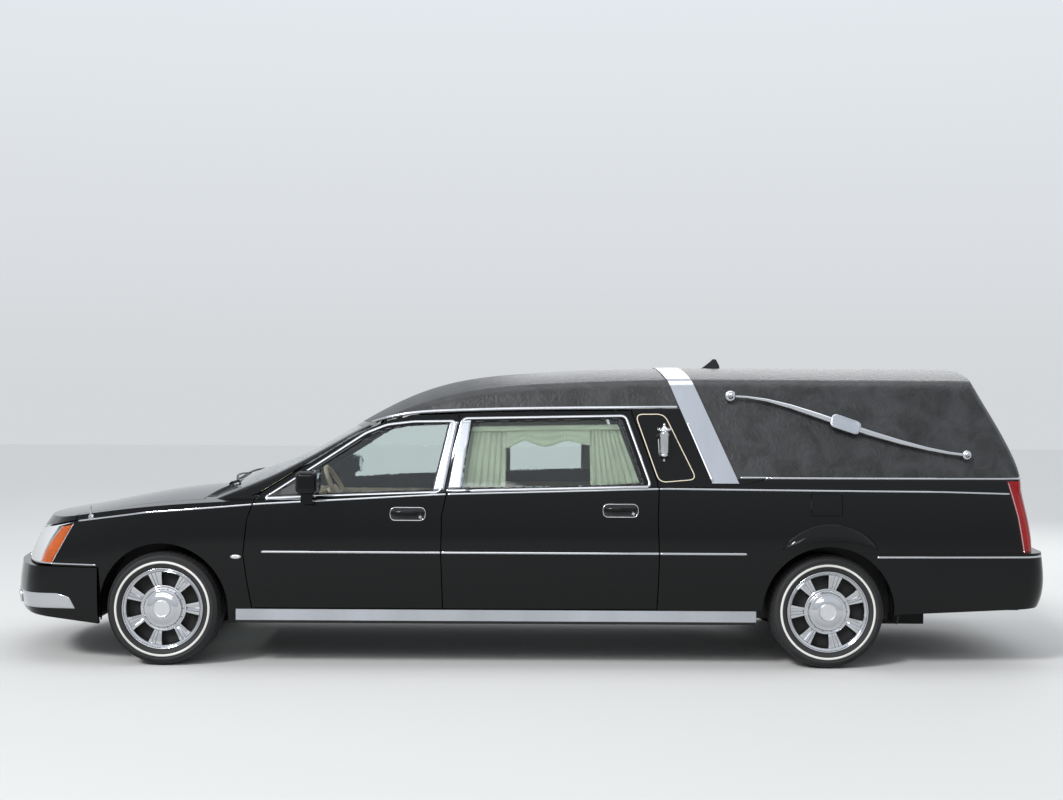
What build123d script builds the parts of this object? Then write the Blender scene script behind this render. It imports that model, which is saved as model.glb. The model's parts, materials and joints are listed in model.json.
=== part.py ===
import os
from math import cos, radians, sin, sqrt, tan

from build123d import *

os.makedirs("parts", exist_ok=True)

# Millimetres. Forward is -X, the left (driver's) side is -Y, the ground is Z = 0.

# Running gear
FRONT_AXLE_X = -2100.0
REAR_AXLE_X = 1820.0
TYRE_RADIUS = 336.0
TYRE_WIDTH = 235.0
TRACK_HALF = 792.0
RIM_RADIUS = 237.0
KINGPIN_INSET = 60.0
ARCH_RADIUS = 388.0
TUB_RADIUS = 428.0
FRONT_TUB_INNER = 470.0
REAR_TUB_INNER = 628.0
FRONT_LIP = 190.0
REAR_LIP = 75.0
TUB_WALL = 6.0

# Panels
GAP = 6.0
THIN_WALL = 40.0
DOOR_WALL = 100.0
CABIN_WALL = 45.0
GLASS_DEPTH = 4.0
GLASS_THICKNESS = 6.0
GLASS_LAP = 8.0
TRIM_PROUD = 5.0
LATCH_SLOPE = 0.27
LOAD_LATCH_SLOPE = 0.36
SILL_TOP = 340.0
BODY_BOTTOM = 255.0
BUMPER_TOP = 570.0
REAR_BUMPER_TOP = 685.0
REAR_SEAM_X = 1960.0
LINE_FRONT = -1700.0
LINE_REAR = 1300.0
SKIN_REF = 945.0
TAIL_CORNER = 110.0
TAIL_CORNER_CLEAR = 12.0
Y_FAR = 1120.0

# Lower body levels: height, half width, nose x, tail x
BODY_LEVELS = [
    (255, 890, -3120, 3060),
    (450, 925, -3135, 3090),
    (680, 945, -3078, 3110),
    (900, 938, -2935, 3082),
    (1130, 895, -2790, 3050),
]
# Shoulder stations: x, height at the sides, height on the centreline
SHOULDER_STATIONS = [
    (-3300, 740, 790),
    (-2950, 792, 845),
    (-2500, 862, 932),
    (-1950, 930, 1006),
    (-1500, 970, 1002),
    (-440, 1022, 1044),
    (800, 1060, 1082),
    (1300, 1074, 1096),
    (3300, 1090, 1112),
]
# Cabin stations: x, shoulder half width, shoulder height, roof corner half width, its height,
# corner radius, crown
CABIN_STATIONS = [
    (-1900, 845, 880, 838, 930, 25, 965),
    (-1470, 850, 965, 765, 1115, 55, 1191),
    (-1040, 872, 985, 702, 1345, 85, 1414),
    (-610, 884, 1008, 667, 1537, 105, 1628),
    (-180, 888, 1026, 657, 1632, 110, 1722),
    (250, 889, 1043, 655, 1665, 110, 1755),
    (680, 889, 1058, 655, 1682, 110, 1773),
    (1110, 889, 1070, 655, 1690, 110, 1780),
    (1540, 886, 1076, 655, 1690, 110, 1780),
    (1970, 877, 1078, 654, 1690, 110, 1780),
    (2400, 860, 1080, 651, 1690, 110, 1780),
    (2830, 834, 1082, 644, 1688, 110, 1778),
    (3260, 798, 1084, 632, 1686, 110, 1776),
]
# Rear face of the cabin: height, x on the centreline
TAIL_LEVELS = [
    (800, 2950),
    (950, 3015),
    (1100, 3045),
    (1250, 3013),
    (1400, 2948),
    (1550, 2872),
    (1700, 2796),
    (1850, 2600),
]
# Bumper levels: height, half width, nose x, tail x
FRONT_BUMPER_LEVELS = [
    (200, 905, -3100, 3000),
    (330, 932, -3172, 3000),
    (450, 942, -3177, 3000),
    (600, 944, -3158, 3000),
]
REAR_BUMPER_LEVELS = [
    (270, 915, -3000, 3085),
    (400, 936, -3000, 3165),
    (540, 946, -3000, 3180),
    (700, 950, -3000, 3164),
]

# Cut lines in side view: x, height, listed upward
FRONT_CUT = [(-1571, 345), (-1597, 500), (-1618, 668), (-1597, 866), (-1564, 965), (-1544, 1010)]
PILLAR_CUT = [(-1010, 1350), (-900, 1408), (-780, 1456), (-620, 1482)]
MIDDLE_CUT = [(-441, 345), (-461, 668), (-456, 895), (-430, 1040), (-361, 1440), (-361, 1496)]
TOP_CUT = [(-361, 1496), (35, 1508), (640, 1516)]
REAR_CUT = [(820, 345), (821, 668), (813, 870), (815, 1092), (751, 1285), (672, 1495), (672, 1516)]
FRONT_WINDOW = [(-1478, 996), (-985, 1022), (-513, 1042), (-427, 1430), (-640, 1420), (-830, 1392)]
FRONT_WINDOW += [(-940, 1340)]
REAR_WINDOW = [(-352, 1050), (735, 1080), (606, 1464), (-288, 1442)]
BAND_FRONT = [(1143, 1073), (877, 1735)]
BAND_REAR = [(1302, 1073), (1018, 1735)]
BELT_Z = 1116.0
LAMP_EDGE = [(-2640, 842), (-2791, 574)]
LAMP_TOP = [(-2640, 842), (-2917, 781), (-3060, 762), (-3300, 762)]
TAIL_LAMP_EDGE = [(2888, 1107), (2941, 900), (2977, 687)]
LAMP_INNER_Y = 345.0
TAIL_LAMP_INNER_Y = 735.0
HOOD_REAR_X = -1885.0
HOOD_REAR_HALF = 790.0
HOOD_FRONT_HALF = 735.0
LOAD_DOOR = [(-622, 694), (622, 694), (606, 1450), (548, 1640), (-548, 1640), (-606, 1450)]
LOAD_WINDOW = [(-520, 1190), (520, 1190), (500, 1560), (-500, 1560)]

PARTS = {}


def both(shape):
    return [shape, mirror(shape, about=Plane.XZ)]


def group(shapes):
    solids = []
    for shape in shapes:
        solids.extend(shape.solids())
    return Compound(solids)


def save(name, *shapes):
    PARTS[name] = group(shapes)


def save_pair(name, *shapes):
    save(name + "_left", *shapes)
    save(name + "_right", *[mirror(shape, about=Plane.XZ) for shape in shapes])


def block(x0, x1, y0, y1, z0, z1):
    return Pos((x0 + x1) / 2, (y0 + y1) / 2, (z0 + z1) / 2) * Box(x1 - x0, y1 - y0, z1 - z0)


def side_prism(points, y0, y1, radius=0):
    face = make_face(Polyline(*points, close=True))
    if radius:
        face = fillet(face.vertices(), radius)
    placed = Plane(origin=(0, y1, 0), x_dir=(1, 0, 0), z_dir=(0, -1, 0)) * face
    return extrude(placed, amount=y1 - y0)


def plan_prism(face, z0, z1):
    return extrude(Pos(0, 0, z0) * face, amount=z1 - z0)


def end_prism(points, x0, x1, radius=0):
    face = make_face(Polyline(*points, close=True))
    if radius:
        face = fillet(face.vertices(), radius)
    placed = Plane(origin=(x0, 0, 0), x_dir=(0, 1, 0), z_dir=(1, 0, 0)) * face
    return extrude(placed, amount=x1 - x0)


def rod(start, end, radius):
    a, b = Vector(*start), Vector(*end)
    return extrude(Plane(origin=a, z_dir=b - a) * Circle(radius), amount=(b - a).length)


def shift(points, dx=0.0, dz=0.0):
    return [(x + dx, z + dz) for x, z in points]


def skin_half(z, x=0.0):
    if z < 1035:
        return 940.0
    narrowing = 53.0 * (max(0.0, x - 1300.0) / 1530.0) ** 2 * (1 - (z - 1090) / 700)
    return 889.0 - 0.382 * (z - 1070) - narrowing


# Plan section of the lower body: nose arc, straight doors, tail arc
def level_face(z, half, nose, tail, side, end):
    half, nose, tail = half - side, nose + end, tail - end
    nose_half, tail_half = half * 0.825, half * 0.93
    nose_x, tail_x = nose + 260, tail - 60
    edges = [
        ThreePointArc((nose_x, nose_half), (nose, 0), (nose_x, -nose_half)),
        TangentArc((LINE_FRONT, -half), (nose_x, -nose_half), tangent=(-1, 0)),
        Line((LINE_FRONT, -half), (LINE_REAR, -half)),
        TangentArc((LINE_REAR, -half), (tail_x, -tail_half), tangent=(1, 0)),
        ThreePointArc((tail_x, -tail_half), (tail, 0), (tail_x, tail_half)),
        TangentArc((LINE_REAR, half), (tail_x, tail_half), tangent=(1, 0)),
        Line((LINE_REAR, half), (LINE_FRONT, half)),
        TangentArc((LINE_FRONT, half), (nose_x, nose_half), tangent=(-1, 0)),
    ]
    face = make_face(edges)
    face = fillet([v for v in face.vertices() if abs(v.X - nose_x) < 1], 250 - end)
    face = fillet([v for v in face.vertices() if abs(v.X - tail_x) < 1], 160 - end)
    return Pos(0, 0, z) * face


def level_stack(levels, side=0.0, end=0.0):
    return loft([level_face(z, half, nose, tail, side, end) for z, half, nose, tail in levels])


def station_face(x, side_z, crown_z, drop):
    outline = [
        Line((-1150, 100), (1150, 100)),
        Line((1150, 100), (1150, side_z - drop)),
        ThreePointArc((1150, side_z - drop), (0, crown_z - drop), (-1150, side_z - drop)),
        Line((-1150, side_z - drop), (-1150, 100)),
    ]
    return Plane(origin=(x, 0, 0), x_dir=(0, 1, 0), z_dir=(1, 0, 0)) * make_face(outline)


def low_body(side=0.0, end=0.0, drop=0.0, edge=0.0):
    crown = loft([station_face(x, side_z, crown_z, drop) for x, side_z, crown_z in SHOULDER_STATIONS])
    body = level_stack(BODY_LEVELS, side, end) & crown
    if edge:
        body = fillet(body.faces().sort_by(Axis.Z)[-1].edges(), edge)
    return body


def cabin_face(x, foot, foot_z, roof, roof_z, radius, crown, inset):
    foot, roof, crown = foot - inset, roof - inset * 0.9, crown - inset
    foot_z, roof_z = foot_z - inset, roof_z - inset
    outline = [
        Line((-foot, 800), (foot, 800)),
        Line((foot, 800), (foot, foot_z)),
        Line((foot, foot_z), (roof, roof_z)),
        ThreePointArc((roof, roof_z), (0, crown), (-roof, roof_z)),
        Line((-roof, roof_z), (-foot, foot_z)),
        Line((-foot, foot_z), (-foot, 800)),
    ]
    face = make_face(outline)
    face = fillet([v for v in face.vertices() if abs(v.Y - roof_z) < 1e-3], radius - inset * 0.2)
    return Plane(origin=(x, 0, 0), x_dir=(0, 1, 0), z_dir=(1, 0, 0)) * face


def tail_face(z, tail, inset):
    half = 838 - 0.32 * max(0, z - 1090) + TAIL_CORNER_CLEAR - inset
    edge_x = tail - inset - 62
    outline = [
        ThreePointArc((edge_x, -half), (tail - inset, 0), (edge_x, half)),
        Line((edge_x, half), (-2500, half + 260)),
        Line((-2500, half + 260), (-2500, -half - 260)),
        Line((-2500, -half - 260), (edge_x, -half)),
    ]
    face = make_face(outline)
    face = fillet([v for v in face.vertices() if abs(v.X - edge_x) < 1e-3], TAIL_CORNER - inset * 0.6)
    return Pos(0, 0, z) * face


def cabin(inset=0.0):
    shell = loft([cabin_face(*row, inset) for row in CABIN_STATIONS])
    tail = loft([tail_face(z, x, inset) for z, x in TAIL_LEVELS])
    return shell & tail


# Region ahead of (or behind) a latch edge that leans forward towards the inside of the wall
def latch_region(line, ahead, grow):
    points = []
    for x, z in line:
        points.append((x + grow + (Y_FAR - skin_half(z)) * LATCH_SLOPE, z))
    far = -3900 if ahead else 3900
    points = [(far, 100)] + [(points[0][0], 100)] + points + [(points[-1][0], 1900), (far, 1900)]
    side = Plane(origin=(0, -Y_FAR, 0), x_dir=(1, 0, 0), z_dir=(0, -1, 0))
    face = side * make_face(Polyline(*points, close=True))
    depth = Y_FAR - 300
    direction = Vector(-LATCH_SLOPE, 1, 0)
    return extrude(face, amount=depth * direction.length, dir=direction)


def front_door_zone(grow):
    ahead = [(x - grow, z) for x, z in FRONT_CUT + PILLAR_CUT]
    ahead = [(ahead[0][0], SILL_TOP + 5 - grow)] + ahead[1:]
    top = [(-361 + 120, MIDDLE_CUT[-1][1] + grow)]
    ahead = ahead[:-4] + [(x, z + grow) for x, z in ahead[-4:]]
    points = ahead + top + [(-361 + 120, SILL_TOP + 5 - grow)]
    return side_prism(points, -Y_FAR, -300) & latch_region(MIDDLE_CUT, True, grow)


def rear_door_zone(grow):
    top = [(x, z + grow) for x, z in TOP_CUT]
    points = [(-361 - 250, SILL_TOP + 5 - grow), (-361 - 250, top[0][1])] + top
    points += [(900, top[-1][1]), (900, SILL_TOP + 5 - grow)]
    zone = side_prism(points, -Y_FAR, -300) & latch_region(REAR_CUT, True, grow)
    return zone & latch_region(MIDDLE_CUT, False, -grow)


def load_door_zone(grow):
    points = []
    for y, z in LOAD_DOOR:
        points.append((y + (grow if y > 0 else -grow), z + (grow if z > 1000 else -grow)))
    straight = [(y if y < 0 else y + 200, z) for y, z in points]
    zone = end_prism(straight, 2400, 3400)
    lean = []
    for y, z in points:
        tail = 3110 - max(0.0, z - 1107) * 0.54
        lean.append((y + (3400 - tail) * LOAD_LATCH_SLOPE if y > 0 else y - 400, z))
    behind = Plane(origin=(3400, 0, 0), x_dir=(0, 1, 0), z_dir=(1, 0, 0))
    face = behind * make_face(Polyline(*lean, close=True))
    direction = Vector(-1, -LOAD_LATCH_SLOPE, 0)
    return zone & extrude(face, amount=1000 * direction.length, dir=direction)


# Outer skin, hollows and walls
outer = low_body(edge=35) + cabin()
cabin_hollow = cabin(CABIN_WALL)
thin_wall = outer - (low_body(THIN_WALL, THIN_WALL, 25) + cabin_hollow)
door_wall = outer - (low_body(DOOR_WALL, DOOR_WALL, 25) + cabin_hollow)
glass_shell = cabin(GLASS_DEPTH) - cabin(GLASS_DEPTH + GLASS_THICKNESS)


# Wheel arch: narrow through the skin, wide behind it, open to the ground
def arch_cut(x, inner, lip):
    edge = SKIN_REF - lip
    cut = Pos(x, -(edge + 200), TYRE_RADIUS) * Cylinder(ARCH_RADIUS, 400, rotation=(90, 0, 0))
    well = Cylinder(TUB_RADIUS, edge - inner, rotation=(90, 0, 0))
    cut += Pos(x, -(edge + inner) / 2, TYRE_RADIUS) * well
    cut += block(x - ARCH_RADIUS, x + ARCH_RADIUS, -(edge + 400), -edge, -50, TYRE_RADIUS)
    cut += block(x - TUB_RADIUS, x + TUB_RADIUS, -edge, -inner, -50, TYRE_RADIUS)
    return cut


front_arch = arch_cut(FRONT_AXLE_X, FRONT_TUB_INNER, FRONT_LIP)
rear_arch = arch_cut(REAR_AXLE_X, REAR_TUB_INNER, REAR_LIP)
arches = Compound(both(front_arch) + both(rear_arch))

front_door = front_door_zone(-GAP / 2)
front_opening = front_door_zone(GAP / 2)
rear_door = rear_door_zone(-GAP / 2)
rear_opening = rear_door_zone(GAP / 2)
load_door = load_door_zone(-GAP * 0.6)
load_opening = load_door_zone(GAP * 0.6)

# Hood and lamp zones
hood_face = make_face(
    Polyline(
        (HOOD_REAR_X, -HOOD_REAR_HALF),
        (LAMP_EDGE[0][0], -HOOD_FRONT_HALF),
        (LAMP_EDGE[0][0], HOOD_FRONT_HALF),
        (HOOD_REAR_X, HOOD_REAR_HALF),
        close=True,
    )
)


def hood_zone(grow):
    face = offset(hood_face, grow) if grow else hood_face
    top = shift(LAMP_TOP, 0, GAP - grow)
    ear_x = LAMP_EDGE[0][0] + grow
    ears = [(ear_x, top[0][1]), (ear_x, 1150)] + [(-3300, 1150)] + top[:0:-1]
    return plan_prism(face, 600, 1150) + side_prism(ears, -1150, 1150)


lamp_shape = [LAMP_EDGE[1], LAMP_EDGE[0]] + LAMP_TOP[1:] + [(-3300, LAMP_EDGE[1][1])]
lamp_zone = side_prism(lamp_shape, -1150, -LAMP_INNER_Y)
grille_zone = block(-3300, -2900, -LAMP_INNER_Y + 4, LAMP_INNER_Y - 4, BUMPER_TOP + 6, LAMP_TOP[-1][1] - 1)

# Glass outlines
windshield_face = make_face(
    [
        Line((-1664, -756), (-945, -594)),
        ThreePointArc((-945, -594), (-1040, 0), (-945, 594)),
        Line((-945, 594), (-1664, 756)),
        ThreePointArc((-1664, 756), (-1830, 0), (-1664, -756)),
    ]
)
windshield = glass_shell & plan_prism(windshield_face, 950, 1900)
windshield_hole = plan_prism(offset(windshield_face, -GLASS_LAP), 900, 1900)
windshield_hole = windshield_hole & plan_prism(windshield_face, 950, 1900)
save("windshield", windshield)

# Hood with rolled nose
save("hood", (thin_wall & hood_zone(0)) - grille_zone)

# Fenders behind the lamps, with arch lips
left_wall = thin_wall & block(-3400, 3400, -1300, 0, 0, 2000)
fender_zone = block(-3300, HOOD_REAR_X + GAP, -1150, 0, BUMPER_TOP + 4, 1000)
fender_zone += block(HOOD_REAR_X + GAP - 1, -1480, -1150, -HOOD_REAR_HALF, SILL_TOP, 1000)
fender_zone += block(-2489, HOOD_REAR_X + GAP, -1150, -HOOD_REAR_HALF, BODY_BOTTOM - 5, 600)
fender_zone += block(HOOD_REAR_X, -1664, -1150, -HOOD_REAR_HALF, BODY_BOTTOM - 5, 600)
fender_zone -= block(-3300, -2900, -LAMP_INNER_Y - 1, 10, 500, 1000)
fender_side = (left_wall & fender_zone) - hood_zone(GAP) - front_arch - front_opening - lamp_zone
save_pair("fender", *[s for s in fender_side.solids() if s.volume > 2e4])

# Headlamps at the front corners
headlamp = (left_wall & lamp_zone) - hood_zone(GAP)
save("headlamps", *both(headlamp))

# Egg-crate grille
nose_low, nose_high, nose_axis = -3116.0, -3031.0, -1790.0
grille_low, grille_high = BUMPER_TOP + 6, LAMP_TOP[-1][1] - 1
section = Polyline(
    (nose_low, 0, grille_low),
    (nose_high, 0, grille_high),
    (nose_high + 30, 0, grille_high),
    (nose_low + 30, 0, grille_low),
    close=True,
)
cone = revolve(make_face(section), axis=Axis((nose_axis, 0, 0), (0, 0, 1)))
grille_plate = cone & grille_zone
openings = []
for row in range(5):
    for column in range(17):
        y = (column - 8) * 37.0
        z = BUMPER_TOP + 36 + row * 31.5
        openings.append(block(-3400, -2800, y - 15.5, y + 15.5, z - 12, z + 12))
save("grille", grille_plate - Compound(openings))

# Cowl and A-pillars
frame_line = [(HOOD_REAR_X + GAP, 930), (-1640, 930), (-1640, 985)] + shift(FRONT_CUT[-1:], -GAP, GAP)
frame_line += shift(PILLAR_CUT[:2], -GAP, GAP) + [(-905, 1432), (-1100, 1432), (HOOD_REAR_X + GAP, 1432)]
pillar_frame = (thin_wall & side_prism(frame_line, -1150, 1150)) - windshield_hole - windshield
for side in (-1, 1):
    inner_y, outer_y = sorted((side * HOOD_REAR_HALF, side * 1150))
    pillar_frame -= block(-1900, -1400, inner_y, outer_y, 900, 1000)
save("windshield_frame", *[s for s in pillar_frame.solids() if s.volume > 2e4])

# Vinyl roof shell over the cabin
roof_line = [(-1100, 1432)] + [(-905, 1432)] + shift(PILLAR_CUT[2:], 0, GAP) + shift(TOP_CUT, 0, GAP)
roof_line += [(1034, 1526), (1215, BELT_Z), (3300, BELT_Z), (3300, 1950), (-1100, 1950)]
roof_zone = side_prism(roof_line, -1150, 1150)
roof = (thin_wall & roof_zone) - load_opening
save("roof", *[s for s in roof.solids() if s.volume > 2e4])

# Quarter panels with fuel recess, from the rear door to the tail
FUEL_X0, FUEL_X1, FUEL_Z0, FUEL_Z1 = 1712.0, 1898.0, 905.0, 1034.0
tail_lamp_shape = [(3400, 1107)] + TAIL_LAMP_EDGE + [(3400, 687)]
tail_lamp_zone = side_prism(tail_lamp_shape, -1150, -TAIL_LAMP_INNER_Y)
quarter_line = [(600, SILL_TOP + 3), (3300, SILL_TOP + 3), (3300, BELT_Z), (1215, BELT_Z), (1034, 1526)]
quarter_line += shift(TOP_CUT[-1:], 0, GAP) + [(600, TOP_CUT[0][1])]
quarter_zone = side_prism(quarter_line, -1150, 0)
quarter = (left_wall & quarter_zone) - rear_opening - load_opening - tail_lamp_zone - rear_arch
quarter -= block(REAR_SEAM_X - 3, 3400, -1200, 0, 200, REAR_BUMPER_TOP)


def fuel_prism(grow, y0, y1, radius=0):
    x0, x1, z0, z1 = FUEL_X0 - grow, FUEL_X1 + grow, FUEL_Z0 - grow, FUEL_Z1 + grow
    return side_prism([(x0, z0), (x1, z0), (x1, z1), (x0, z1)], y0, y1, radius)


cup_outer = fuel_prism(6, -930, -850)
cup_inner = fuel_prism(-6, -1150, -856)
fuel_plate_zone = fuel_prism(-3, -1150, -800, 10)
quarter = (quarter + (cup_outer & outer)) - fuel_prism(0, -1150, -900, 12)
quarter -= cup_inner
quarter = [s for s in quarter.solids() if s.volume > 2e4]
save_pair("quarter", *quarter)
thin_skin = outer - low_body(8, 8, 8)
save("fuel_door", thin_skin & fuel_plate_zone)
fuel_middle = Pos((FUEL_X0 + FUEL_X1) / 2, -866, (FUEL_Z0 + FUEL_Z1) / 2)
save("fuel_cap", fuel_middle * Cylinder(38, 20, rotation=(90, 0, 0)))

# Tail-lamps on the rear corners
tail_lamp = (left_wall & tail_lamp_zone) - load_opening
save("tail_lamps", *both(tail_lamp))

# Side doors with glass and mirrors
front_window = side_prism(FRONT_WINDOW, -1150, -400, 14)
front_glass_big = glass_shell & side_prism(
    [
        (x + (GLASS_LAP if x > -800 else -GLASS_LAP), z + (GLASS_LAP if z > 1200 else -GLASS_LAP))
        for x, z in FRONT_WINDOW
    ],
    -1150,
    -400,
)
save_pair("front_door", (door_wall & front_door) - front_window - front_glass_big)
save_pair("front_glass", front_glass_big)
mirror_head = fillet(block(-1290, -1168, -1108, -928, 1028, 1160).edges(), 34)
mirror_arm = block(-1270, -1200, -1010, -850, 966, 1000) + block(-1270, -1200, -1010, -960, 966, 1060)
save_pair("mirror", (mirror_head + mirror_arm) - outer)
rear_window = side_prism(REAR_WINDOW, -1150, -400, 14)
rear_glass_big = glass_shell & side_prism(
    [
        (x + (GLASS_LAP if x > 100 else -GLASS_LAP), z + (GLASS_LAP if z > 1200 else -GLASS_LAP))
        for x, z in REAR_WINDOW
    ],
    -1150,
    -400,
)
save_pair("rear_door", (door_wall & rear_door) - rear_window - rear_glass_big)
save_pair("rear_glass", rear_glass_big)

# Drapes and valance hung on the rear doors' inner faces
curtain_shell = cabin_hollow - cabin(CABIN_WALL + 12)
drapes = [
    [(-362, 1046), (-140, 1046), (-160, 1478), (-300, 1478)],
    [(360, 1046), (765, 1046), (640, 1478), (330, 1478)],
    [(-155, 1340), (325, 1340), (325, 1478), (-155, 1478)],
]
save_pair("curtain", *[curtain_shell & side_prism(points, -1150, -400) for points in drapes])

# Loading door with glass
load_window = end_prism(LOAD_WINDOW, 2400, 3400, 40)
load_window_line = [(y * 1.015, z + (8 if z > 1400 else -8)) for y, z in LOAD_WINDOW]
load_window_big = end_prism(load_window_line, 2400, 3400, 40)
load_glass = glass_shell & load_window_big
save("load_door", (thin_wall & load_door) - load_window - load_glass)
save("load_glass", load_glass)

# Bumpers
front_stack = level_stack(FRONT_BUMPER_LEVELS) - level_stack(FRONT_BUMPER_LEVELS, 32, 32)
front_bumper_line = [(-2495, 236), (-2495, BUMPER_TOP), (-3400, BUMPER_TOP), (-3400, 293), (-3000, 285)]
fog_shape = [(-2872, 322), (-3250, 318), (-3250, 408), (-2905, 402)]
fog_zone = side_prism(fog_shape, -1150, -420)
front_slab = block(-3400, -2495, -1150, 1150, BUMPER_TOP - 14, BUMPER_TOP)
front_ledge = level_stack(FRONT_BUMPER_LEVELS) & front_slab
front_ledge -= low_body(THIN_WALL + 60, THIN_WALL + 60, 0)
front_bumper = ((front_stack & side_prism(front_bumper_line, -1150, 1150)) + front_ledge) - arches
for shape in both(fog_zone):
    front_bumper -= shape
save("front_bumper", front_bumper)
save("fog_lamps", *both((front_stack & fog_zone)))
rear_stack = level_stack(REAR_BUMPER_LEVELS) - level_stack(REAR_BUMPER_LEVELS, 34, 34)
rear_bumper_line = [(REAR_SEAM_X, 313), (REAR_SEAM_X, REAR_BUMPER_TOP), (3400, REAR_BUMPER_TOP)]
rear_bumper_line += [(3400, 362), (3180, 362)]
rear_slab = block(2300, 3400, -1150, 1150, REAR_BUMPER_TOP - 14, REAR_BUMPER_TOP)
rear_ledge = level_stack(REAR_BUMPER_LEVELS) & rear_slab
rear_ledge -= low_body(THIN_WALL - 4, THIN_WALL - 4, 0)
rear_bumper = ((rear_stack & side_prism(rear_bumper_line, -1150, 1150)) + rear_ledge) - arches
save("rear_bumper", rear_bumper)

# Rocker trim, roof band, landau bars, coach lamps
band_shape = [BAND_FRONT[0], (BAND_FRONT[1][0] - 45, 1850), (BAND_REAR[1][0] - 45, 1850), BAND_REAR[0]]
band = (cabin(-TRIM_PROUD) - outer) & side_prism(band_shape, -1150, 1150)
band = band & block(0, 2000, -1200, 1200, 1090, 1900)
save("roof_band", *[s for s in band.solids() if s.volume > 1e4])
BAR_POINTS = [(1260, 1593), (1590, 1533), (1930, 1420), (2280, 1318), (2654, 1252)]
BAR_STANDOFF = 26.0
places = [(x, -(skin_half(z, x) + BAR_STANDOFF), z) for x, z in BAR_POINTS]
bar = None
for a, b, c in (places[:3], places[2:]):
    path = ThreePointArc(a, b, c)
    run = sweep(Plane(origin=path @ 0, z_dir=path % 0) * Circle(11), path=path)
    bar = run if bar is None else bar + run
for (x, y, z), radius in ((places[0], 30), (places[-1], 26)):
    bar += Pos(x, y, z) * Cylinder(radius, 24, rotation=(90, 0, 0))
middle = (places[2][0], places[2][1] + 3, places[2][2])
oval = Plane(origin=middle, x_dir=(1, 0, 0), z_dir=(0, -1, 0)) * Ellipse(84, 44)
bar += extrude(oval, amount=22)
for x, y, z in (places[0], places[2], places[-1]):
    bar += rod((x, y, z), (x, y + BAR_STANDOFF + 25, z), 10)
save("landau_bars", *both((bar - outer).solids().sort_by(SortBy.VOLUME)[-1]))
lamp_y = -(skin_half(1330) + 40)
coach_lamp = Pos(858, lamp_y, 1325) * Cylinder(26, 150)
coach_lamp += Pos(858, lamp_y, 1412) * Cone(34, 10, 30) + Pos(858, lamp_y, 1240) * Cone(8, 30, 30)
coach_lamp += Pos(858, lamp_y, 1435) * Sphere(10) + Pos(858, lamp_y, 1217) * Sphere(9)
upper_arm = rod((858, lamp_y, 1385), (858, lamp_y + 80, 1385), 9)
coach_lamp += upper_arm + rod((858, lamp_y, 1265), (858, lamp_y + 80, 1265), 9)
save("coach_lamps", *both((coach_lamp - outer).solids().sort_by(SortBy.VOLUME)[-1]))
fin_line = [(1157, 1770), (1293, 1770), (1288, 1800), (1268, 1838), (1250, 1842), (1200, 1800)]
fin = side_prism(fin_line, -16, 16) - outer
save("antenna", fin)

# Floor pan with sills, rear floor and wheel tubs
FLOOR_TOP = 292.0
DECK_TOP = 640.0
floor_slab = block(-1664, 1395, -1000, 1000, BODY_BOTTOM, SILL_TOP) & outer
floor_slab -= block(-1640, 1395, -(SKIN_REF - 125), SKIN_REF - 125, FLOOR_TOP, 400)
rear_floor = block(1395, 3060, -560, 560, SILL_TOP - 40, SILL_TOP)
floor = floor_slab + block(1340, 1400, -560, 560, FLOOR_TOP, SILL_TOP) + rear_floor
for shape in both(front_opening):
    floor -= shape
firewall = block(-1664, -1644, -790, 790, SILL_TOP, 955)
for side in (-1, 1):
    inner_y, outer_y = sorted((side * 790, side * (SKIN_REF - 52)))
    firewall += block(-1664, -1586, inner_y, outer_y, SILL_TOP, 940)
for shape in both(front_opening):
    firewall -= shape


tub_limit = low_body(THIN_WALL, THIN_WALL, 25)


def wheel_tub(x, inner):
    width = SKIN_REF - THIN_WALL - inner
    outer_ring = Cylinder(TUB_RADIUS + TUB_WALL, width, rotation=(90, 0, 0))
    hollow = Cylinder(TUB_RADIUS, width, rotation=(90, 0, 0))
    ring = Pos(x, -(inner + width / 2), TYRE_RADIUS) * (outer_ring - hollow)
    disc = Cylinder(TUB_RADIUS + TUB_WALL, TUB_WALL, rotation=(90, 0, 0))
    wall = Pos(x, -(inner - TUB_WALL / 2), TYRE_RADIUS) * disc
    return ((ring + wall) & block(x - 600, x + 600, -1200, 0, BODY_BOTTOM, 1000)) & tub_limit


axle_hole = Pos(REAR_AXLE_X, -REAR_TUB_INNER, TYRE_RADIUS) * Cylinder(60, 40, rotation=(90, 0, 0))
rear_tub = wheel_tub(REAR_AXLE_X, REAR_TUB_INNER) - rear_bumper - axle_hole
front_tub = wheel_tub(FRONT_AXLE_X, FRONT_TUB_INNER) - front_bumper
for shape in both(rear_tub):
    floor -= shape
floor -= arches
save("floor_pan", floor)
for shape in both(front_tub):
    firewall -= shape
firewall -= thin_wall
save("firewall", *[s for s in (firewall - arches).solids() if s.volume > 1e5])
save("wheel_tubs", *both(rear_tub), *both(front_tub))
rocker = block(-1664, 1395, -914, -880, 275, SILL_TOP) - outer - rear_tub
save("rocker_trim", *both(rocker))

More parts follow.
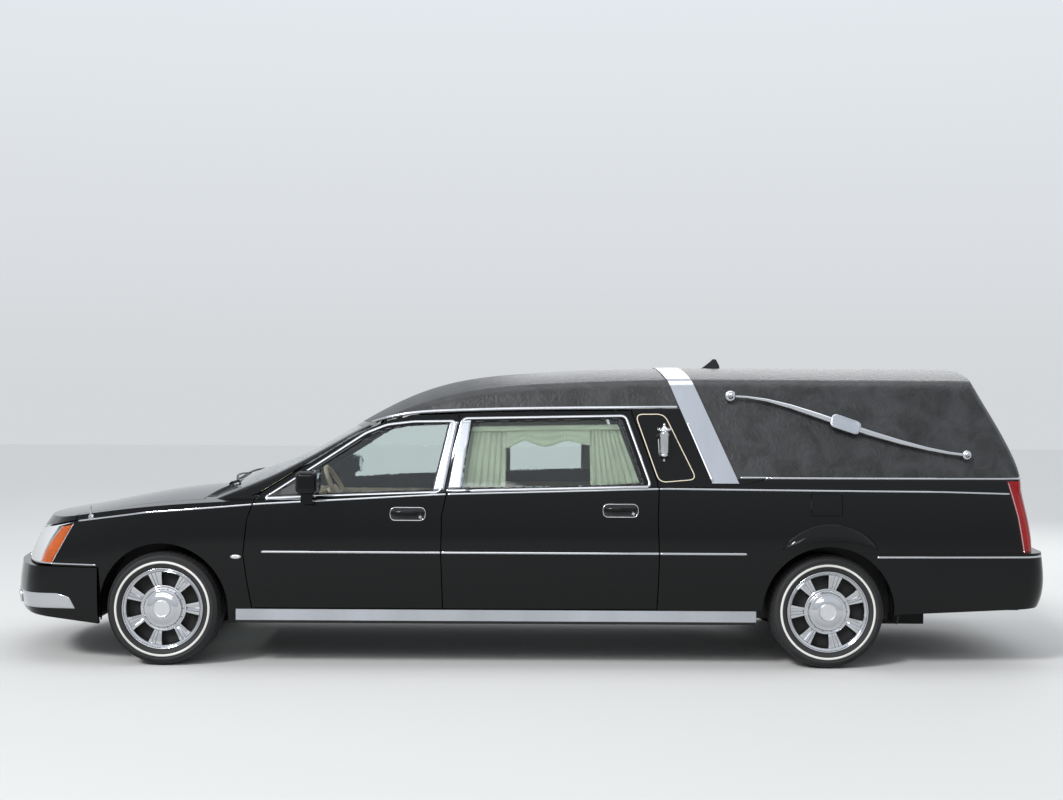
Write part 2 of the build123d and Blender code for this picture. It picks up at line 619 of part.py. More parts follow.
# Casket deck with rollers and bier pins
deck = block(-240, 2990, -780, 780, DECK_TOP - 20, DECK_TOP)
tub_room = Pos(REAR_AXLE_X, -780, TYRE_RADIUS) * Cylinder(TUB_RADIUS + 8, 306, rotation=(90, 0, 0))
for shape in both(rear_tub) + both(tub_room):
    deck -= shape
deck &= low_body(DOOR_WALL + 14, 60, 0)
legs = [block(-240, -220, -780, 780, FLOOR_TOP, DECK_TOP - 20)]
for x in (600, 1360):
    legs.append(block(x, x + 20, -560, 560, FLOOR_TOP if x < 1300 else SILL_TOP, DECK_TOP - 20))
for x in (2350, 2960):
    legs.append(block(x, x + 20, -560, 560, SILL_TOP, DECK_TOP - 20))
for leg in legs:
    deck += leg
for x in [150 + 420 * n for n in range(7)]:
    roller = Pos(x, 0, DECK_TOP + 10) * Cylinder(16, 620, rotation=(90, 0, 0))
    deck += roller + block(x - 24, x + 24, -320, 320, DECK_TOP - 1, DECK_TOP + 8)
for x, y in ((500, -260), (500, 260), (2500, -260), (2500, 260)):
    deck += Pos(x, y, DECK_TOP + 44) * Cylinder(16, 90) + Pos(x, y, DECK_TOP + 92) * Sphere(22)
save("casket_deck", deck)

# Middle pillars inside the door joint
post_inner = SKIN_REF - DOOR_WALL - 60
post_side = [
    (-(post_inner + 30), FLOOR_TOP),
    (-(post_inner + 30), 1000),
    (-(skin_half(1500) - CABIN_WALL - 9), 1500),
    (-(skin_half(1510) - CABIN_WALL + 20), 1510),
    (-(skin_half(1590) - CABIN_WALL + 20), 1590),
    (-(skin_half(1500) - CABIN_WALL - 45), 1510),
    (-post_inner, 1000),
    (-post_inner, FLOOR_TOP),
]
post_line = [(-500, 250), (-425, 250), (-412, 1040), (-352, 1440), (-352, 1700), (-425, 1700)]
post_line += [(-425, 1440), (-492, 1040)]
post = end_prism(post_side, -700, 0) & side_prism(post_line, -1150, -300)
post_foot = post & block(-700, 0, -1000, 0, FLOOR_TOP, 900) & low_body(DOOR_WALL + 8, 60, 40)
post = (post & cabin(CABIN_WALL + 6) & block(-700, 0, -1000, 0, 880, 1800)) + post_foot
save("pillars", *both(post))

# Dashboard and seats
dash_points = [(-1620, 720), (-1600, 985), (-1420, 985), (-1345, 930), (-1345, 800), (-1420, 700)]
dash_room = low_body(DOOR_WALL + 12, 60, 40) + block(-1644, -1600, -300, 300, 720, 960)
dashboard = side_prism(dash_points, -782, 782) & dash_room
save("dashboard", dashboard)


def seat(y):
    base = block(-860, -480, y - 200, y + 200, FLOOR_TOP, FLOOR_TOP + 110)
    cushion_line = [(-930, 402), (-940, 540), (-880, 560), (-470, 510), (-440, 402)]
    cushion = side_prism(cushion_line, y - 270, y + 270, 24)
    back_line = [(-540, 480), (-440, 440), (-290, 560), (-215, 1060), (-300, 1072), (-400, 700)]
    back = side_prism(back_line, y - 265, y + 265, 26)
    rest = side_prism([(-300, 1120), (-210, 1112), (-170, 1270), (-255, 1285)], y - 135, y + 135, 30)
    stems = rod((-256, y - 60, 1040), (-240, y - 60, 1150), 7)
    stems = stems + rod((-256, y + 60, 1040), (-240, y + 60, 1150), 7)
    return base + cushion + back + rest + stems


save("front_seats", seat(-370), seat(370))

# Steering wheel on its column
RIM_CENTRE = (-1128.0, -375.0, 985.0)
column_axis = Vector(cos(radians(28)), 0, sin(radians(28)))
wheel_plane = Plane(origin=RIM_CENTRE, x_dir=(0, 1, 0), z_dir=column_axis)
steering_wheel = wheel_plane * Torus(178, 14)
steering_wheel += wheel_plane * Pos(0, 0, -30) * Cylinder(62, 56)
for angle in (0, 180, 270):
    steering_wheel += wheel_plane * Rot(0, 0, angle) * Pos(105, 0, -8) * Box(150, 30, 14)
save("steering_wheel", steering_wheel)
column_start = Vector(*RIM_CENTRE) - column_axis * 64
column_end = Vector(*RIM_CENTRE) - column_axis * 330
save("steering_column", rod(tuple(column_start), tuple(column_end), 30) - dashboard)

# Front frame, engine and steering arms
frame = []
for y in (-400, 400):
    frame.append(block(-3040, -1664, y - 35, y + 35, 290, 370))
frame.append(block(-2150, -2050, -400, 400, 235, 289.9) + block(-2150, -2050, -400, 400, 285, 300))
bumper_inside = level_stack(FRONT_BUMPER_LEVELS, 32, 32)
frame.append(block(-3060, -3020, -400, 400, 300, 360))
frame.append(block(-3300, -3020, -400, -350, 310, 350) & bumper_inside)
frame.append(block(-3300, -3020, 350, 400, 310, 350) & bumper_inside)
body_frame = frame[0]
for piece in frame[1:]:
    body_frame += piece
kingpin_y = TRACK_HALF - KINGPIN_INSET
for side in (-1, 1):
    arm_line = [(-2230, side * 400), (-1960, side * 400), (-2080, side * kingpin_y)]
    arm = make_face(Polyline(*arm_line, (-2120, side * kingpin_y), close=True))
    hanger = block(-2230, -1960, *sorted((side * 380, side * 420)), 165, 300)
    body_frame += extrude(Pos(0, 0, 165) * arm, amount=22) + hanger
strut = rod((FRONT_AXLE_X, -605, 180), (FRONT_AXLE_X, -605, 769), 22) - front_tub
for shape in both(strut):
    body_frame += shape
save("front_frame", body_frame)
save("engine_block", block(-2600, -1900, -270, 270, 300, 820) + block(-2500, -2000, -320, 320, 300, 560))

# Wheels
def tyre():
    w, r, bead = TYRE_WIDTH / 2, TYRE_RADIUS, 218
    outline = [
        Line((bead, -w + 26), (bead, w - 26)),
        Line((bead, w - 26), (bead + 20, w - 22)),
        ThreePointArc((bead + 20, w - 22), (bead + 66, w), (r - 26, w - 9)),
        ThreePointArc((r - 26, w - 9), (r - 8, w - 20), (r - 1.5, w - 36)),
        Line((r - 1.5, w - 36), (r, 0)),
        Line((r, 0), (r - 1.5, -w + 36)),
        ThreePointArc((r - 1.5, -w + 36), (r - 8, -w + 20), (r - 26, -w + 9)),
        ThreePointArc((r - 26, -w + 9), (bead + 66, -w), (bead + 20, -w + 22)),
        Line((bead + 20, -w + 22), (bead, -w + 26)),
    ]
    return revolve(Plane.XY * make_face(outline), axis=Axis.Y)


def rim():
    w = TYRE_WIDTH / 2
    barrel = [
        Line((218, w - 26), (RIM_RADIUS, w - 22.2)),
        Line((RIM_RADIUS, w - 22.2), (RIM_RADIUS, w - 12)),
        Line((RIM_RADIUS, w - 12), (226, w - 12)),
        Line((226, w - 12), (204, w - 36)),
        Line((204, w - 36), (204, -w + 24)),
        Line((204, -w + 24), (230, -w + 14)),
        Line((230, -w + 14), (230, -w + 23.6)),
        Line((230, -w + 23.6), (218, -w + 26)),
        Line((218, -w + 26), (218, w - 26)),
    ]
    body = revolve(Plane.XY * make_face(barrel), axis=Axis.Y)
    disc = Pos(0, w - 52, 0) * Cylinder(206, 16, rotation=(90, 0, 0))
    window = Pos(0, 0, 0) * Box(1, 1, 1)
    windows = []
    for index in range(7):
        cut = Pos(187, 0, 0) * Box(60, 60, 66)
        windows.append(Rot(0, index * 360 / 7 + 180 / 7, 0) * Pos(0, w - 52, 0) * cut)
    body += disc - Compound(windows)
    for index in range(7):
        pad = loft([
            Plane(origin=(126, w - 44.5, 0), x_dir=(0, 0, 1), z_dir=(1, 0, 0))
            * make_face(Polyline((-34, 0), (34, 0), (26, -30), (0, -36), (-26, -30), close=True)),
            Plane(origin=(222, w - 44.5, 0), x_dir=(0, 0, 1), z_dir=(1, 0, 0))
            * make_face(Polyline((-52, 0), (52, 0), (42, -22), (0, -28), (-42, -22), close=True)),
        ])
        body += Rot(0, index * 360 / 7, 0) * (pad & Cylinder(216, 400, rotation=(90, 0, 0)))
    dome = revolve(
        Plane.XY
        * make_face([
            Line((0, w - 50), (112, w - 50)),
            Line((112, w - 50), (112, w - 22)),
            ThreePointArc((112, w - 22), (80, w - 4), (52, w + 2)),
            Line((52, w + 2), (48, w + 8)),
            Line((48, w + 8), (0, w + 8)),
            Line((0, w + 8), (0, w - 50)),
        ]),
        axis=Axis.Y,
    )
    return body + dome


# Both shapes face +Y; the left wheels are mirrored to face -Y
tyre_shape = tyre()
rim_shape = rim() - Pos(0, -30, 0) * Cylinder(50, 80, rotation=(90, 0, 0))
for name, x in (("front", FRONT_AXLE_X), ("rear", REAR_AXLE_X)):
    for label, side in (("left", -1), ("right", 1)):
        for kind, shape in (("tyre", tyre_shape), ("rim", rim_shape)):
            turned = mirror(shape, about=Plane.XZ) if side < 0 else shape
            save(f"{kind}_{name}_{label}", Pos(x, side * TRACK_HALF, TYRE_RADIUS) * turned)


# Inner face of the wheel disc, which the hub meets
HUB_FACE = TRACK_HALF + TYRE_WIDTH / 2 - 60.5


def knuckle(side):
    hub_y = side * HUB_FACE
    shape = rod((FRONT_AXLE_X, side * (kingpin_y - 30), TYRE_RADIUS), (FRONT_AXLE_X, hub_y, TYRE_RADIUS), 34)
    shape += Pos(FRONT_AXLE_X, side * kingpin_y, 0) * block(-30, 30, -22, 22, 187.5, 520)
    shape += Pos(FRONT_AXLE_X, side * (kingpin_y + 28), TYRE_RADIUS) * Cylinder(150, 14, rotation=(90, 0, 0))
    return shape


save("knuckle_left", knuckle(-1))
save("knuckle_right", knuckle(1))
# Rear axle on springs
axle_y = HUB_FACE
rear_axle = rod((REAR_AXLE_X, -axle_y, TYRE_RADIUS), (REAR_AXLE_X, axle_y, TYRE_RADIUS), 34)
rear_axle -= block(1700, 1900, -566, 566, 0, TYRE_RADIUS + 100)
rear_axle += block(REAR_AXLE_X - 45, REAR_AXLE_X + 45, -600, 600, 215, 275)
for side in (-1, 1):
    rear_axle += Pos(REAR_AXLE_X, side * 590, 0) * block(-45, 45, -25, 25, 215, 380)
    rear_axle += Pos(REAR_AXLE_X, side * (kingpin_y + 28), TYRE_RADIUS) * Cylinder(150, 14, rotation=(90, 0, 0))
    rear_axle += Pos(REAR_AXLE_X, side * 480, 0) * block(-50, 50, -50, 50, 270, SILL_TOP - 40)
save("rear_axle", rear_axle)
save("fuel_tank", block(2000, 2500, -480, 480, 200, SILL_TOP - 40))
save("exhaust", rod((-1600, 200, 226), (1740, 200, 226), 28.7))

# Hinge leaves at the doors' front edges, the loading door and the fuel door, and posts under the hood
LEAF_GAP = 0.4
SWING_GAP = 5.0
leaves = []
door_edge = front_door_zone(LEAF_GAP - GAP / 2)
post_y = SKIN_REF - DOOR_WALL
for z in (500, 830):
    leaf = block(-1660, -1570, -888, -820, z, z + 60) - door_edge - firewall
    leaves.extend(both(group(s for s in leaf.solids() if s.volume > 1000)))
    leaf = block(-470, -436, -900, -(post_inner + 30), z, z + 60)
    leaves.extend(both(leaf & low_body(DOOR_WALL + SWING_GAP, DOOR_WALL + SWING_GAP, 25 + SWING_GAP)))
load_rim = load_opening - load_door_zone(LEAF_GAP - GAP * 0.6)
for z in (760, 1000):
    leaves.append(thin_wall & (load_rim & block(2900, 3200, -700, -500, z, z + 60)))
leaves.append(thin_skin & block(FUEL_X0, FUEL_X0 + GAP / 2 - LEAF_GAP, -1150, -800, 944, 996))
hood_inner = low_body(THIN_WALL + LEAF_GAP, THIN_WALL + LEAF_GAP, 25 + LEAF_GAP)
stops = [block(-2900, -2870, y - 15, y + 15, 370, 900) & hood_inner for y in (-400, 400)]
save("hinges_and_stops", *leaves, *stops)

for name, shape in PARTS.items():
    export_step(shape, f"parts/{name}.step")
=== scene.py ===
import json
import logging
import math
from collections.abc import Callable
from dataclasses import dataclass
from enum import Enum

import bmesh
import bpy
from mathutils import Matrix, Vector
from mathutils.bvhtree import BVHTree


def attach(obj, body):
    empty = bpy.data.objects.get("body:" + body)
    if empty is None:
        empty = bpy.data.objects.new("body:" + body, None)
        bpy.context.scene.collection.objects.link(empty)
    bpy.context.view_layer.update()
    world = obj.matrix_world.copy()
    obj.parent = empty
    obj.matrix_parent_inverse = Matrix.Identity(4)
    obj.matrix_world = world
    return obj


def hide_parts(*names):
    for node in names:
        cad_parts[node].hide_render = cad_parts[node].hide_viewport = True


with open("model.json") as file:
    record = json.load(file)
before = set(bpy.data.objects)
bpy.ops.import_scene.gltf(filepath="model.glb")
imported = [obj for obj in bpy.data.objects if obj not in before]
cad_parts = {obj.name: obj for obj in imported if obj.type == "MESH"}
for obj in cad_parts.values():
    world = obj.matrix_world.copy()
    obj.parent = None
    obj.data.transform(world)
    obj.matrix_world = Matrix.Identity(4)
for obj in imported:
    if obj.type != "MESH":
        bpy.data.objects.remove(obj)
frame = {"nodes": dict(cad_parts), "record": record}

log = logging.getLogger("hearse")

Point = tuple[float, ...]
Line = list[Point]
Face = tuple[int, ...]
Socket = bpy.types.NodeSocket
Height = float | Callable[[float, float], float]
Caster = Callable[[float, float], "Hit | None"]
COACH = "coach_body"


class Side(Enum):
    """The two sides of the coach, as the sign of Y."""

    LEFT = -1
    RIGHT = 1

    @property
    def label(self) -> str:
        """The side's name, as pieces and bodies have it."""
        return self.name.lower()


class Texture(Enum):
    """How a finish's grain is drawn."""

    PLAIN = "plain"
    CRINKLE = "crinkle"
    BRUSHED = "brushed"
    WEAVE = "weave"
    PEBBLE = "pebble"


@dataclass(frozen=True)
class Finish:
    """One surface finish.

    Args:
        colour: Base colour, linear RGB.
        metallic: 0 for plastic, paint and cloth, 1 for metal.
        roughness: Mean roughness of the surface.
        coat: Weight of a clear coat.
        sheen: Weight of a cloth sheen.
        transmission: 1 for clear glass.
        grain: Scale of the surface's fine texture.
        relief: Height of the bump, in metres.
        variation: How far the colour wanders, 0 to 1.
        ior: Index of refraction, which sets how strongly a plain surface mirrors.
        texture: The kind of grain.
    """

    colour: Point
    metallic: float = 0.0
    roughness: float = 0.4
    coat: float = 0.0
    sheen: float = 0.0
    transmission: float = 0.0
    grain: float = 120.0
    relief: float = 0.0
    variation: float = 0.1
    ior: float = 1.45
    texture: Texture = Texture.PLAIN


FINISHES = {
    "paint": Finish((0.0016, 0.0017, 0.0021), roughness=0.045, grain=900, relief=0.000004, variation=0.05,
                    ior=1.34),
    # The vinyl's tone varies at random in crinkled swirls, and their lighter streaks are painted highlight
    # for the sheen on the creases.
    "vinyl": Finish((0.026, 0.026, 0.0275), roughness=0.40, grain=26, relief=0.0030, variation=0.50, ior=1.42,
                    texture=Texture.CRINKLE),
    "chrome": Finish((0.56, 0.57, 0.59), metallic=1.0, roughness=0.04, variation=0.03),
    "satin": Finish((0.50, 0.52, 0.56), metallic=1.0, roughness=0.22, grain=260, relief=0.00003,
                    variation=0.12, texture=Texture.BRUSHED),
    "glass": Finish((0.86, 0.93, 0.91), roughness=0.0, transmission=1.0, variation=0.0),
    "lens": Finish((0.97, 0.98, 1.0), roughness=0.0, transmission=1.0, variation=0.0, ior=1.12),
    "amber": Finish((0.56, 0.105, 0.012), roughness=0.25, grain=240, relief=0.0006, variation=0.2, ior=1.3,
                    texture=Texture.PEBBLE),
    "red": Finish((0.34, 0.004, 0.006), roughness=0.14, grain=180, relief=0.0004, variation=0.3, ior=1.32,
                  texture=Texture.PEBBLE),
    "rubber": Finish((0.020, 0.020, 0.021), roughness=0.72, grain=420, relief=0.0002, variation=0.35),
    "white": Finish((0.74, 0.73, 0.70), roughness=0.55, grain=300, relief=0.0001, variation=0.15),
    "black": Finish((0.012, 0.012, 0.013), roughness=0.45, grain=700, relief=0.0001, variation=0.3),
    "mirror": Finish((0.52, 0.58, 0.68), metallic=1.0, roughness=0.06, variation=0.12),
    # Near-black: the fuel tank's own colour, and painted shade in the wheels' windows, behind the grille, in
    # the bumper's intake and in the cowl's slots.
    "void": Finish((0.004, 0.004, 0.004), roughness=0.8, variation=0.2),
    "iron": Finish((0.050, 0.048, 0.046), metallic=0.4, roughness=0.62, grain=90, relief=0.0006,
                   variation=0.5),
    "leather": Finish((0.44, 0.33, 0.22), roughness=0.46, grain=260, relief=0.0005, variation=0.25,
                      texture=Texture.PEBBLE),
    "trim": Finish((0.38, 0.30, 0.21), roughness=0.55, grain=520, relief=0.0003, variation=0.2,
                   texture=Texture.PEBBLE),
    "drape": Finish((0.50, 0.53, 0.40), roughness=0.85, sheen=0.5, grain=1500, relief=0.0002, variation=0.2,
                    texture=Texture.WEAVE),
    "steel": Finish((0.42, 0.43, 0.44), metallic=1.0, roughness=0.34, grain=200, relief=0.00005,
                    variation=0.2, texture=Texture.BRUSHED),
    "cream": Finish((0.78, 0.68, 0.52), roughness=0.4, variation=0.05),
    "silver": Finish((0.70, 0.71, 0.72), metallic=0.9, roughness=0.28, variation=0.05),
    "wood": Finish((0.16, 0.07, 0.03), roughness=0.25, coat=0.7, grain=14, relief=0.00005, variation=0.5),
}


class Graph:
    """A node tree with short calls that add and link its nodes."""

    def __init__(self, tree: bpy.types.NodeTree) -> None:
        self.tree = tree

    def feed(self, node: bpy.types.Node, inputs: dict) -> bpy.types.Node:
        """Links each input given as a socket, and sets each other one."""
        for key, value in inputs.items():
            if isinstance(value, bpy.types.NodeSocket):
                self.tree.links.new(value, node.inputs[key])
            else:
                node.inputs[key].default_value = value
        return node

    def add(self, kind: str, inputs: dict | None = None, **settings: object) -> bpy.types.Node:
        """Adds one node with its settings and inputs."""
        node = self.tree.nodes.new(kind)
        for key, value in settings.items():
            setattr(node, key, value)
        return self.feed(node, inputs or {})

    def maths(self, operation: str, *values: float | Socket) -> Socket:
        """Adds a math node on numbers or sockets and returns its result."""
        return self.add("ShaderNodeMath", dict(enumerate(values)), operation=operation).outputs[0]

    def ramp(self, factor: Socket, stops: list[tuple[float, Point]]) -> Socket:
        """Adds a two-stop colour ramp and returns its colour."""
        node = self.add("ShaderNodeValToRGB", {"Fac": factor})
        for element, (place, colour) in zip(node.color_ramp.elements, stops):
            element.position, element.color = place, (*colour, 1)
        return node.outputs["Color"]


class MaterialShop:
    """Builds and keeps the node materials, one for each finish."""

    def __init__(self) -> None:
        self.made: dict[str, bpy.types.Material] = {}

    def get(self, name: str) -> bpy.types.Material:
        """Returns the material for a finish's name, made on first use."""
        if name not in self.made:
            self.made[name] = self.build(name, FINISHES[name])
        return self.made[name]

    def build(self, name: str, finish: Finish) -> bpy.types.Material:
        """Makes one procedural material.

        Args:
            name: The finish's name.
            finish: Its values.

        Returns:
            The new material.
        """
        material = bpy.data.materials.new(f"hearse_{name}")
        material.use_nodes = True
        graph = Graph(material.node_tree)
        place = graph.add("ShaderNodeTexCoord").outputs["Object"]
        stretch = (1.0, 1.0, 0.06 if finish.texture is Texture.BRUSHED else 1.0)
        vector = graph.add("ShaderNodeMapping", {"Vector": place, "Scale": stretch}).outputs["Vector"]
        # On the crinkle texture the colour wanders in swirls; on the vinyl their lighter streaks are painted
        # highlight.
        scale, detail, distortion = (7.0, 8.0, 0.9) if finish.texture is Texture.CRINKLE else (3.0, 5.0, 0.0)
        values = {"Vector": vector, "Scale": scale, "Detail": detail, "Distortion": distortion}
        wander = graph.add("ShaderNodeTexNoise", values)
        stops = [(at, tuple(min(1.0, max(0.0, c * (1 + sign * finish.variation))) for c in finish.colour))
                 for at, sign in ((0.3, -1), (0.7, 1))]
        inputs = {
            "Base Color": graph.ramp(wander.outputs["Fac"], stops), "Metallic": finish.metallic,
            "IOR": finish.ior, "Roughness": finish.roughness, "Coat Weight": finish.coat,
            "Coat Roughness": 0.03, "Sheen Weight": finish.sheen, "Transmission Weight": finish.transmission,
        }
        if finish.relief:
            height = self.grain(graph, vector, finish)
            bump = graph.add("ShaderNodeBump", {"Distance": finish.relief, "Strength": 1.0, "Height": height})
            inputs["Normal"] = bump.outputs["Normal"]
        graph.feed(material.node_tree.nodes["Principled BSDF"], inputs)
        return material

    @staticmethod
    def grain(graph: Graph, vector: Socket, finish: Finish) -> Socket:
        """Adds the nodes of a finish's relief and returns their height socket."""

        def noise(factor: float, detail: float) -> bpy.types.Node:
            """Adds a noise at a multiple of the grain's scale."""
            return graph.add("ShaderNodeTexNoise",
                             {"Vector": vector, "Scale": finish.grain * factor, "Detail": detail})

        def cells(feature: str, where: Socket) -> Socket:
            """Adds a cell pattern and returns its distance."""
            node = graph.add("ShaderNodeTexVoronoi", {"Scale": finish.grain, "Vector": where},
                             feature=feature)
            return node.outputs["Distance"]

        if finish.texture is Texture.CRINKLE:
            bend = noise(0.35, 3.0).outputs["Color"]
            mix = graph.add("ShaderNodeMix", {"Factor": 0.10, 4: vector, 5: bend}, data_type="VECTOR")
            creases = cells("DISTANCE_TO_EDGE", mix.outputs[1])
            return graph.maths("MULTIPLY_ADD", noise(7, 4.0).outputs["Fac"], 0.25, creases)
        if finish.texture is Texture.PEBBLE:
            return cells("SMOOTH_F1", vector)
        if finish.texture is Texture.WEAVE:
            values = {"Scale": finish.grain / 6, "Distortion": 0.6, "Vector": vector}
            threads = [graph.add("ShaderNodeTexWave", values, bands_direction=way).outputs["Fac"]
                       for way in ("X", "Z")]
            return graph.maths("ADD", *threads)
        return noise(1, 4.0).outputs["Fac"]


SHOP = MaterialShop()


@dataclass
class Hit:
    """Where a ray met the coach's skin."""

    point: Vector
    normal: Vector
    node: str

    def out(self, distance: float) -> Vector:
        """Returns the point that stands off the skin by a distance."""
        return self.point + self.normal * distance


def lerp(a: Point, b: Point, t: float) -> Point:
    """Returns the point a share t of the way from a to b."""
    return tuple(p + (q - p) * t for p, q in zip(a, b))


def quad(corners: Line, u: float, v: float) -> Point:
    """Returns the point at (u, v) in a four-cornered outline, whose corners run round it."""
    return lerp(lerp(corners[0], corners[1], u), lerp(corners[3], corners[2], u), v)


def resample(points: Line, step: float) -> Line:
    """Returns points along a polyline, at most a step apart, its corners among them."""
    result = [tuple(points[0])]
    for a, b in zip(points, points[1:]):
        count = max(1, math.ceil(math.dist(a, b) / step))
        result += [tuple(p + (q - p) * i / count for p, q in zip(a, b)) for i in range(1, count + 1)]
    return result


def smooth_line(points: Line, rounds: int) -> Line:
    """Returns an open polyline with its corners cut round, by Chaikin's rule."""
    for _ in range(rounds):
        cut = [points[0]]
        for a, b in zip(points, points[1:]):
            cut += [tuple(p * near + q * (1 - near) for p, q in zip(a, b)) for near in (0.75, 0.25)]
        points = cut + [points[-1]]
    return points


def rounded_loop(points: Line, radius: float, steps: int = 6) -> Line:
    """Returns a closed polygon with each corner rounded, its first point given twice."""
    result = []
    for i, corner in enumerate(points):
        before, after = points[i - 1], points[(i + 1) % len(points)]
        a, b = math.dist(corner, before), math.dist(corner, after)
        cut = min(radius, a * 0.45, b * 0.45)
        p, q = lerp(corner, before, cut / a), lerp(corner, after, cut / b)
        for t in (step / steps for step in range(steps + 1)):
            result.append(tuple((1 - t) ** 2 * p[k] + 2 * t * (1 - t) * corner[k] + t * t * q[k]
                                for k in (0, 1)))
    return result + [result[0]]


def box_corners(x0: float, x1: float, z0: float, z1: float) -> Line:
    """Returns the four corners of an upright rectangle, running round it."""
    return [(x0, z0), (x1, z0), (x1, z1), (x0, z1)]


def grid_faces(columns: int, rows: int, loop: bool = False, ring: bool = False, turn: bool = False,
               base: int = 0) -> list[Face]:
    """Returns the faces between points that are numbered column by column.

    Args:
        columns: How many columns of points there are.
        rows: Points in each column.
        loop: Whether the last column joins the first.
        ring: Whether a column's last point joins its first.
        turn: Whether the faces look the other way.
        base: The first point's number.
    """
    faces = []
    for c in range(columns if loop else columns - 1):
        a, b = base + c * rows, base + (c + 1) % columns * rows
        for r in range(rows if ring else rows - 1):
            s = (r + 1) % rows
            faces.append((a + r, b + r, b + s, a + s) if turn else (a + r, a + s, b + s, b + r))
    return faces


def grid_border(columns: int, rows: int) -> list[int]:
    """Returns the numbers of the points round the border of a grid of columns by rows faces."""
    n = rows + 1
    return ([c * n for c in range(columns + 1)] + [columns * n + r for r in range(1, n)]
            + [c * n + rows for c in range(columns - 1, -1, -1)] + list(range(rows - 1, 0, -1)))


def apply_modifiers(obj: bpy.types.Object) -> bpy.types.Object:
    """Turns an object's modifiers into plain mesh, as Blender evaluates them."""
    mesh = bpy.data.meshes.new_from_object(obj.evaluated_get(bpy.context.evaluated_depsgraph_get()))
    old = obj.data
    obj.modifiers.clear()
    obj.data = mesh
    bpy.data.meshes.remove(old)
    return obj


def link(name: str, data: bpy.types.ID) -> bpy.types.Object:
    """Makes an object of some data and links it into the scene."""
    obj = bpy.data.objects.new(name, data)
    bpy.context.scene.collection.objects.link(obj)
    return obj


